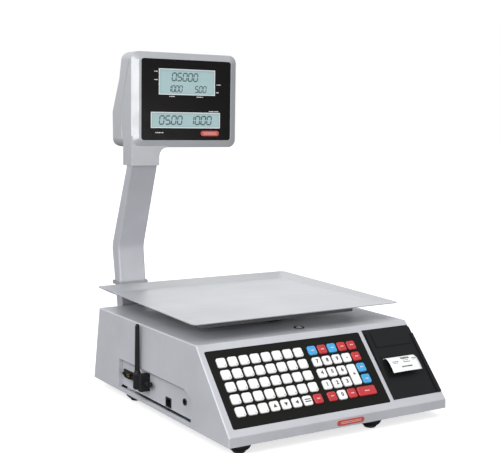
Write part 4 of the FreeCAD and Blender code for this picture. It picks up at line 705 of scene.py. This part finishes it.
def label_point(across, along, lift):
    """A point on the label: along is the distance in metres back from its free end."""
    (left, right), _, _ = slope_box("label")
    wanted = CURVE_LENGTHS[-1] - along
    last = len(CURVE) - 1
    index = max(1, next((i for i, length in enumerate(CURVE_LENGTHS) if length >= wanted), last))
    (u0, o0), (u1, o1) = CURVE[index - 1], CURVE[index]
    span = CURVE_LENGTHS[index] - CURVE_LENGTHS[index - 1]
    share = (wanted - CURVE_LENGTHS[index - 1]) / span
    up, out = u0 + (u1 - u0) * share, o0 + (o1 - o0) * share
    tangent = Vector((u1 - u0, o1 - o0)).normalized()
    curl = 0.0009 * (abs(across) / (right - left) * 2) ** 2 * max(0.0, 1 - along / 0.03)
    return on_slope((left + right) / 2 + across, up + tangent.y * lift, out - tangent.x * lift - curl)


def make_label():
    (left, right), _, _ = slope_box("label")
    width = right - left
    columns, rows = 12, 44
    total = CURVE_LENGTHS[-1]
    shape = bmesh.new()
    sheets = []
    for lift in (-0.08 * MM, 0.08 * MM):
        grid = [[shape.verts.new(label_point(width * (column / columns - 0.5), total * row / rows, lift))
                 for column in range(columns + 1)] for row in range(rows + 1)]
        sheets.append(grid)
    for grid, order in zip(sheets, (1, -1)):
        for row in range(rows):
            for column in range(columns):
                face = (grid[row][column], grid[row][column + 1],
                        grid[row + 1][column + 1], grid[row + 1][column])
                shape.faces.new(face[::order])
    low, high = sheets
    border = ([(0, c) for c in range(columns + 1)] + [(r, columns) for r in range(1, rows + 1)]
              + [(rows, c) for c in range(columns - 1, -1, -1)]
              + [(r, 0) for r in range(rows - 1, 0, -1)])
    for (r0, c0), (r1, c1) in zip(border, border[1:] + border[:1]):
        shape.faces.new((low[r0][c0], low[r1][c1], high[r1][c1], high[r0][c0]))
    label = finish_piece("printed_label", shape, MATERIALS["label_paper"], "cover",
                         smooth=True)
    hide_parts("label")


def print_block(shape, x, along, width, height):
    """A printed block that follows the label's curve."""
    steps = max(1, int(height / 0.0015))
    for step in range(steps):
        share = height / steps
        bar(shape, label_point, x, along + (step + 0.5) * share, width, share, 0.07 * MM, 0.14 * MM)


# Each line of print: middle across, distance back from the free end, width and height.
PRINT_LINES = ((0.005, 0.0215, 0.0165, 0.0042), (-0.0175, 0.0175, 0.0105, 0.0014),
               (-0.0185, 0.0150, 0.0070, 0.0010), (0.0215, 0.0205, 0.0085, 0.0014),
               (0.0215, 0.0180, 0.0060, 0.0010), (0.0035, 0.0185, 0.0100, 0.0010),
               (0.0045, 0.0150, 0.0125, 0.0014), (0.0010, 0.0068, 0.0200, 0.0022))
LETTER_GAP = 0.00035


def print_label():
    """Generic print: a heavy block, short lines each side of it, and one wide line below."""
    shape = bmesh.new()
    for x, along, width, height in PRINT_LINES:
        position = x - width / 2
        while position < x + width / 2:
            letter = random.uniform(0.0012, 0.0024)
            print_block(shape, position + letter / 2, along, letter, height)
            position += letter + LETTER_GAP
    finish_piece("label_print", shape, INK_DARK, "cover")


make_label()
print_label()

# ---------------------------------------------------------------- displays

SEGMENTS = {"0": "abcdef", "1": "bc", "5": "afgcd", " ": ""}
DIGIT_PITCH = 1.42
DOT_AT = 1.21


def segment(shape, put, x0, y0, x1, y1, thick, low, high):
    """One bar of a digit with pointed ends."""
    along = Vector((x1 - x0, y1 - y0))
    way = along.normalized()
    side = Vector((-way.y, way.x)) * thick / 2
    a = Vector((x0, y0)) + way * thick * 0.12
    b = Vector((x1, y1)) - way * thick * 0.12
    points = [a, a + way * thick / 2 + side, b - way * thick / 2 + side, b, b - way * thick / 2 - side,
              a + way * thick / 2 - side]
    slab(shape, [tuple(point) for point in points], put, low, high)


def digits(shape, put, text, x, y, width, height, thick, low, high, slant=0.12):
    """Seven-segment numerals; a dot follows the digit before it."""
    lean = lambda a, b, lift: put(a + (b - y) * slant, b, lift)
    pitch = width * DIGIT_PITCH
    for mark in text:
        if mark == ".":
            bar(shape, lean, x - pitch + width * DOT_AT, y - height / 2 + thick / 2, thick, thick,
                low, high)
            continue
        left, right, bottom, top = x, x + width, y - height / 2, y + height / 2
        ends = {"a": (left, top, right, top), "b": (right, y, right, top),
                "c": (right, bottom, right, y), "d": (left, bottom, right, bottom),
                "e": (left, bottom, left, y), "f": (left, y, left, top), "g": (left, y, right, y)}
        for name in SEGMENTS[mark]:
            segment(shape, lean, *ends[name], thick, low, high)
        x += pitch


LCD_INK = ink("lcd_segments", (0.045, 0.085, 0.09), 0.45)
FRAME_WHITE = moulded("pane_frame", (0.74, 0.79, 0.79), 0.4)
PLATE_RED = brushed("plate_red", (0.62, 0.09, 0.07), 0.34, (9, 500, 700), metallic=0.35)


def front_put(node):
    """Maps a spot on a front pane, from its centre, to space; heights stand out of the pane."""
    low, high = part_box(node)
    middle = (low + high) / 2
    return lambda x, y, lift: Vector((middle.x + x, low.y - lift, middle.z + y))


def rear_put():
    """The same for the pane on the leaning back."""
    pane = NODES["lcd_rear"].data
    face = max((polygon for polygon in pane.polygons if polygon.normal.y > 0.5), key=lambda p: p.area)
    out = face.normal.normalized()
    across = Vector((-1, 0, 0))
    up = out.cross(across)
    low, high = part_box("lcd_rear")
    middle = (low + high) / 2
    centre = middle + out * (face.center - middle).dot(out)
    return lambda x, y, lift: centre + across * x + up * y + out * lift


def fill_pane(name, put, lines):
    """The dark segments of one pane; each line is a text, its place and a digit's size in mm."""
    shape = bmesh.new()
    for text, x, y, width, height in lines:
        thick = 0.155 * height * MM
        digits(shape, put, text, x * MM, y * MM, width * MM, height * MM, thick, 0.02 * MM, 0.07 * MM)
    finish_piece(f"{name}_segments", shape, LCD_INK, "base")


fill_pane("lcd_upper", front_put("lcd_upper"),
          [("0.5000", -29, 8.5, 7.4, 13), ("10.00", -37, -11.5, 5.2, 10.5),
           ("5.00", 16, -11.5, 5.6, 10.5)])
fill_pane("lcd_lower", front_put("lcd_lower"), [("05.00 10.00", -51, 0, 8.2, 14)])
fill_pane("lcd_rear", rear_put(),
          [("0.500", -52, 0, 7.0, 14), ("10.00", -8, 0, 5.6, 11), ("5.00", 32, 0, 5.6, 11)])


def pane_frames():
    """The pale rims round the two front panes."""
    window_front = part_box("front_window")[0].y
    shape = bmesh.new()
    for node in ("lcd_upper", "lcd_lower"):
        low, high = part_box(node)
        middle, half = (low + high) / 2, (high - low) / 2
        put = lambda x, y, lift: Vector((x, window_front - lift, y))
        ring(shape, put, (middle.x, middle.z, half.x + 1.2 * MM, half.z + 1.2 * MM),
             (middle.x, middle.z, half.x - 0.3 * MM, half.z - 0.3 * MM), -0.15 * MM, 0.3 * MM)
    finish_piece("pane_frames", shape, FRAME_WHITE, "base", bevel=0.15 * MM)


def window_marks():
    """Plain printed dashes where captions would be, and a red plate with two pale lines."""
    window_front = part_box("front_window")[0].y
    upper_low, upper_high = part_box("lcd_upper")
    lower_low, lower_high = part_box("lcd_lower")
    put = lambda x, y, lift: Vector((x, window_front - lift, y))
    shape = bmesh.new()
    spots = [(upper_low.x - 7 * MM, upper_high.z - 4 * MM, 7),
             (upper_low.x - 7 * MM, upper_high.z - 18 * MM, 7),
             (upper_high.x + 8 * MM, upper_low.z + 18 * MM, 9),
             (upper_high.x + 6 * MM, upper_low.z + 4.5 * MM, 6),
             (upper_low.x + 24 * MM, upper_low.z - 4 * MM, 11),
             (upper_high.x - 29 * MM, upper_low.z - 4 * MM, 14),
             (lower_high.x - 12 * MM, lower_high.z + 3.4 * MM, 20),
             (lower_low.x + 15 * MM, lower_low.z - 9 * MM, 16)]
    for x, z, width in spots:
        count = max(2, width // 3)
        pitch = width * MM / count
        for index in range(count):
            height = (1.5 if index % 3 else 1.1) * MM
            across = x + (index - (count - 1) / 2) * pitch
            bar(shape, put, across, z, pitch * 0.72, height, 0.0, 0.04 * MM)
    finish_piece("window_marks", shape, INK_WHITE, "base")
    plate = bmesh.new()
    x, z = lower_high.x - 19 * MM, lower_low.z - 10 * MM
    slab(plate, pill(x, z, 18.5 * MM, 4.6 * MM), put, 0.0, 0.35 * MM)
    finish_piece("window_plate", plate, PLATE_RED, "base", bevel=0.2 * MM)
    lines = bmesh.new()
    for y in (-1.1, 1.1):
        bar(lines, put, x, z + y * MM, 27 * MM, 0.8 * MM, 0.3 * MM, 0.4 * MM)
    finish_piece("window_plate_lines", lines, INK_PALE, "base")


pane_frames()
window_marks()


def rear_marks():
    """Short rows of dashes above the pane on the leaning back."""
    put = rear_put()
    low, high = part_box("lcd_rear")
    half, tall = (high.x - low.x) / 2, 17 * MM
    shape = bmesh.new()
    for side in (-0.66, 0.02, 0.66):
        for index in range(4):
            across = half * side + index * 2.6 * MM
            bar(shape, put, across, tall + 3 * MM, 1.9 * MM, 1.3 * MM, 0.28 * MM, 0.34 * MM)
    finish_piece("rear_marks", shape, INK_WHITE, "base")


rear_marks()

# ---------------------------------------------------------------- small hardware


def socket_contacts():
    """Gold contacts in the two data sockets."""
    gold = plated("gold_contacts", (0.85, 0.62, 0.25), 0.2)
    shape = bmesh.new()
    low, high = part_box("serial_port")
    middle = (low + high) / 2
    floor = low.x + 0.005
    for row, count in ((1.4 * MM, 5), (-1.4 * MM, 4)):
        z = middle.z + row
        for index in range(count):
            y = middle.y + (index - (count - 1) / 2) * 2.8 * MM
            tube(shape, Vector((floor + 1 * MM, y, z)), Vector((low.x + 1.2 * MM, y, z)), 0.5 * MM)
    finish_piece("serial_pins", shape, gold, "base", smooth=True)
    shape = bmesh.new()
    low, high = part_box("network_port")
    middle = (low + high) / 2
    for index in range(8):
        y = middle.y + (index - 3.5) * 1.1 * MM
        put = lambda a, b, lift: Vector((low.x + a, y + b, middle.z + 5.2 * MM - a * 0.35 - lift))
        corners = [(2 * MM, -0.25 * MM), (9 * MM, -0.25 * MM), (9 * MM, 0.25 * MM), (2 * MM, 0.25 * MM)]
        slab(shape, corners, put, 0.0, 0.3 * MM)
    finish_piece("network_contacts", shape, gold, "base")


def make_badge():
    """A plain enamelled plate with round ends and two raised pale lines; it carries no words."""
    low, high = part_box("front_badge")
    middle, half, tall = (low + high) / 2, (high.x - low.x) / 2, (high.z - low.z) / 2
    put = lambda x, y, lift: Vector((middle.x + x, high.y - lift, middle.z + y))
    thick = high.y - low.y
    shape = bmesh.new()
    slab(shape, pill(0, 0, half, tall), put, 0.0, thick)
    badge = finish_piece("badge", shape, PLATE_RED, "base", bevel=0.3 * MM)
    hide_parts("front_badge")
    shape = bmesh.new()
    for y in (-1.1, 1.1):
        bar(shape, put, 0, y * MM, 2 * half - 3 * tall, 0.6 * MM, thick - 0.02 * MM, thick + 0.06 * MM)
    finish_piece("badge_lines", shape, INK_PALE, "base")


def foot_shoulders():
    """The wide moulded shoulder under the tray round each foot."""
    shape = bmesh.new()
    for foot in ("front_left", "front_middle", "front_right", "rear_left", "rear_right"):
        low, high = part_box(f"foot_{foot}")
        middle, hole = (low + high) / 2, (high.x - low.x) / 2 + 0.3 * MM
        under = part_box("base_tray")[0].z
        profile = ((17.5 * MM, 0.3 * MM), (17.2 * MM, -3.0 * MM), (15.5 * MM, -6.5 * MM),
                   (hole + 1.2 * MM, -9.5 * MM), (hole, -9.5 * MM), (hole, 0.3 * MM))
        loops = [[shape.verts.new((middle.x + far * math.cos(turn), middle.y + far * math.sin(turn),
                                   under + lift)) for turn in full_circle(40)] for far, lift in profile]
        skin(shape, (loops + loops[:1])[::-1])
    finish_piece("foot_shoulders", shape, MATERIALS["black_plastic"], "base",
                 smooth=True)


def eased(points, rounds=4):
    """A line with its corners cut again and again, until it bends gently."""
    for _ in range(rounds):
        cut = [points[0]]
        for first, second in zip(points, points[1:]):
            cut += [first.lerp(second, 0.25), first.lerp(second, 0.75)]
        points = cut + [points[-1]]
    return points


def seam_beads():
    """The raised edge of the front shell along its joint with the rear shell, on both sides."""
    place = lambda vertex: tuple(round(value, 5) for value in vertex.co)
    front = {place(vertex) for vertex in NODES["head_front_shell"].data.vertices}
    rear = {place(vertex) for vertex in NODES["head_rear_shell"].data.vertices}
    shape = bmesh.new()
    across, radius = Vector((1, 0, 0)), 1.1 * MM
    for side in (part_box("head_rear_shell")[0].x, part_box("head_rear_shell")[1].x):
        joint = sorted({(z, y) for x, y, z in front & rear if abs(x - side) < 0.05 * MM})
        line = eased([Vector((side, y, z)) for z, y in joint])
        loops = []
        for index, point in enumerate(line):
            along = (line[min(index + 1, len(line) - 1)] - line[max(index - 1, 0)]).normalized()
            flat = along.cross(across).normalized()
            loops.append([shape.verts.new(point + across * math.cos(turn) * radius * 0.6
                                          + flat * math.sin(turn) * radius) for turn in full_circle(12)])
        skin(shape, loops)
        shape.faces.new(loops[0][::-1])
        shape.faces.new(loops[-1])
    finish_piece("seam_beads", shape, MATERIALS["silver_head"], "base", smooth=True)


socket_contacts()
make_badge()
foot_shoulders()
seam_beads()

# ---------------------------------------------------------------- stage, lights and camera


FLOOR_REACH = 14
SENSOR = 36.0
LENS = 72.8928
CAMERA_TURN = (32.687, -6.16, 0.84)
CAMERA_PLACE = (-0.9028, -1.3581, 0.4465)
CAMERA_SHIFT = (0.0039, 0.0030)


def make_floor():
    """A pale sweep: near white to the camera, with faint shadows, and dim as a light."""
    shape = bmesh.new()
    bottom = CAD_BOX[0].z
    for x, y in ((-1, -1), (1, -1), (1, 1), (-1, 1)):
        shape.verts.new((x * FLOOR_REACH, y * FLOOR_REACH, bottom))
    shape.faces.new(shape.verts)
    mesh = bpy.data.meshes.new("floor")
    shape.to_mesh(mesh)
    shape.free()
    floor = bpy.data.objects.new("floor", mesh)
    bpy.context.scene.collection.objects.link(floor)
    paint = Paint("floor_paper", roughness=0.9)
    seen = paint.add("ShaderNodeLightPath").outputs["Is Camera Ray"]
    tone = paint.blend(paint.level(paint.noise(2.0), 0.0, 1.0), (0.56, 0.56, 0.56), (0.58, 0.58, 0.58))
    paint.set("Base Color", paint.blend(seen, (0.22, 0.22, 0.23), tone))
    paint.set("Emission Color", (1.0, 1.0, 1.0))
    paint.set("Emission Strength", paint.math("MULTIPLY", seen, 0.68))
    paint.set("Specular IOR Level", 0.0)
    mesh.materials.append(paint.material)


def make_world():
    """White to the camera; as a light, bright at the upper left and dim towards the lower right."""
    world = bpy.data.worlds.new("studio")
    bpy.context.scene.world = world
    world.use_nodes = True
    tree = world.node_tree
    tree.nodes.clear()
    output = tree.nodes.new("ShaderNodeOutputWorld")
    mix = tree.nodes.new("ShaderNodeMixShader")
    path = tree.nodes.new("ShaderNodeLightPath")
    soft, seen = tree.nodes.new("ShaderNodeBackground"), tree.nodes.new("ShaderNodeBackground")
    way = tree.nodes.new("ShaderNodeTexCoord")
    facing = tree.nodes.new("ShaderNodeVectorMath")
    facing.operation = "DOT_PRODUCT"
    facing.inputs[1].default_value = Vector((-0.7, 0.05, 0.7)).normalized()
    scale = tree.nodes.new("ShaderNodeMapRange")
    for name, value in (("From Min", -1.0), ("From Max", 1.0), ("To Min", 0.12), ("To Max", 1.12)):
        scale.inputs[name].default_value = value
    tree.links.new(way.outputs["Generated"], facing.inputs[0])
    tree.links.new(facing.outputs["Value"], scale.inputs["Value"])
    tree.links.new(scale.outputs["Result"], soft.inputs["Strength"])
    soft.inputs["Color"].default_value = (0.96, 0.97, 1.0, 1)
    seen.inputs["Color"].default_value = (1, 1, 1, 1)
    tree.links.new(path.outputs["Is Camera Ray"], mix.inputs[0])
    tree.links.new(soft.outputs[0], mix.inputs[1])
    tree.links.new(seen.outputs[0], mix.inputs[2])
    tree.links.new(mix.outputs[0], output.inputs["Surface"])


def add_light(name, place, target, size, power):
    """A soft rectangular lamp that the camera doesn't see."""
    light = bpy.data.lights.new(name, "AREA")
    light.shape = "RECTANGLE"
    light.size, light.size_y = size
    light.energy = power
    holder = bpy.data.objects.new(name, light)
    bpy.context.scene.collection.objects.link(holder)
    holder.location = place
    aim = Vector(target) - Vector(place)
    holder.rotation_euler = aim.to_track_quat("-Z", "Y").to_euler()
    holder.visible_camera = False


def make_camera():
    """The viewpoint: front left, a little above, looking slightly down."""
    yaw, pitch, roll = (math.radians(value) for value in CAMERA_TURN)
    level = math.cos(pitch)
    forward = Vector((math.sin(yaw) * level, math.cos(yaw) * level, math.sin(pitch)))
    right = Vector((math.cos(yaw), -math.sin(yaw), 0))
    above = right.cross(forward)
    side = right * math.cos(roll) + above * math.sin(roll)
    top = above * math.cos(roll) - right * math.sin(roll)
    data = bpy.data.cameras.new("camera")
    data.sensor_width = SENSOR
    data.lens = LENS
    data.shift_x, data.shift_y = CAMERA_SHIFT
    data.clip_end = 60
    camera = bpy.data.objects.new("camera", data)
    bpy.context.scene.collection.objects.link(camera)
    turn = Matrix((side, top, -forward)).transposed().to_4x4()
    camera.matrix_world = Matrix.Translation(CAMERA_PLACE) @ turn
    bpy.context.scene.camera = camera


make_floor()
make_world()
add_light("key", (-2.2, -0.5, 1.5), (0, 0, 0.2), (1.6, 1.6), 28)
add_light("card", (-1.1, -3.0, 0.8), (0, 0, 0.35), (0.7, 1.6), 26)
add_light("low", (0.3, -2.2, 0.30), (0, 0, 0.12), (1.8, 0.3), 6)
add_light("above", (0.2, 0.0, 2.3), (0, 0, 0.1), (1.8, 1.8), 6)
add_light("behind", (1.1, 2.3, 0.8), (0, 0.1, 0.15), (2.4, 1.2), 5)
make_camera()
bpy.context.scene.view_settings.view_transform = "Standard"
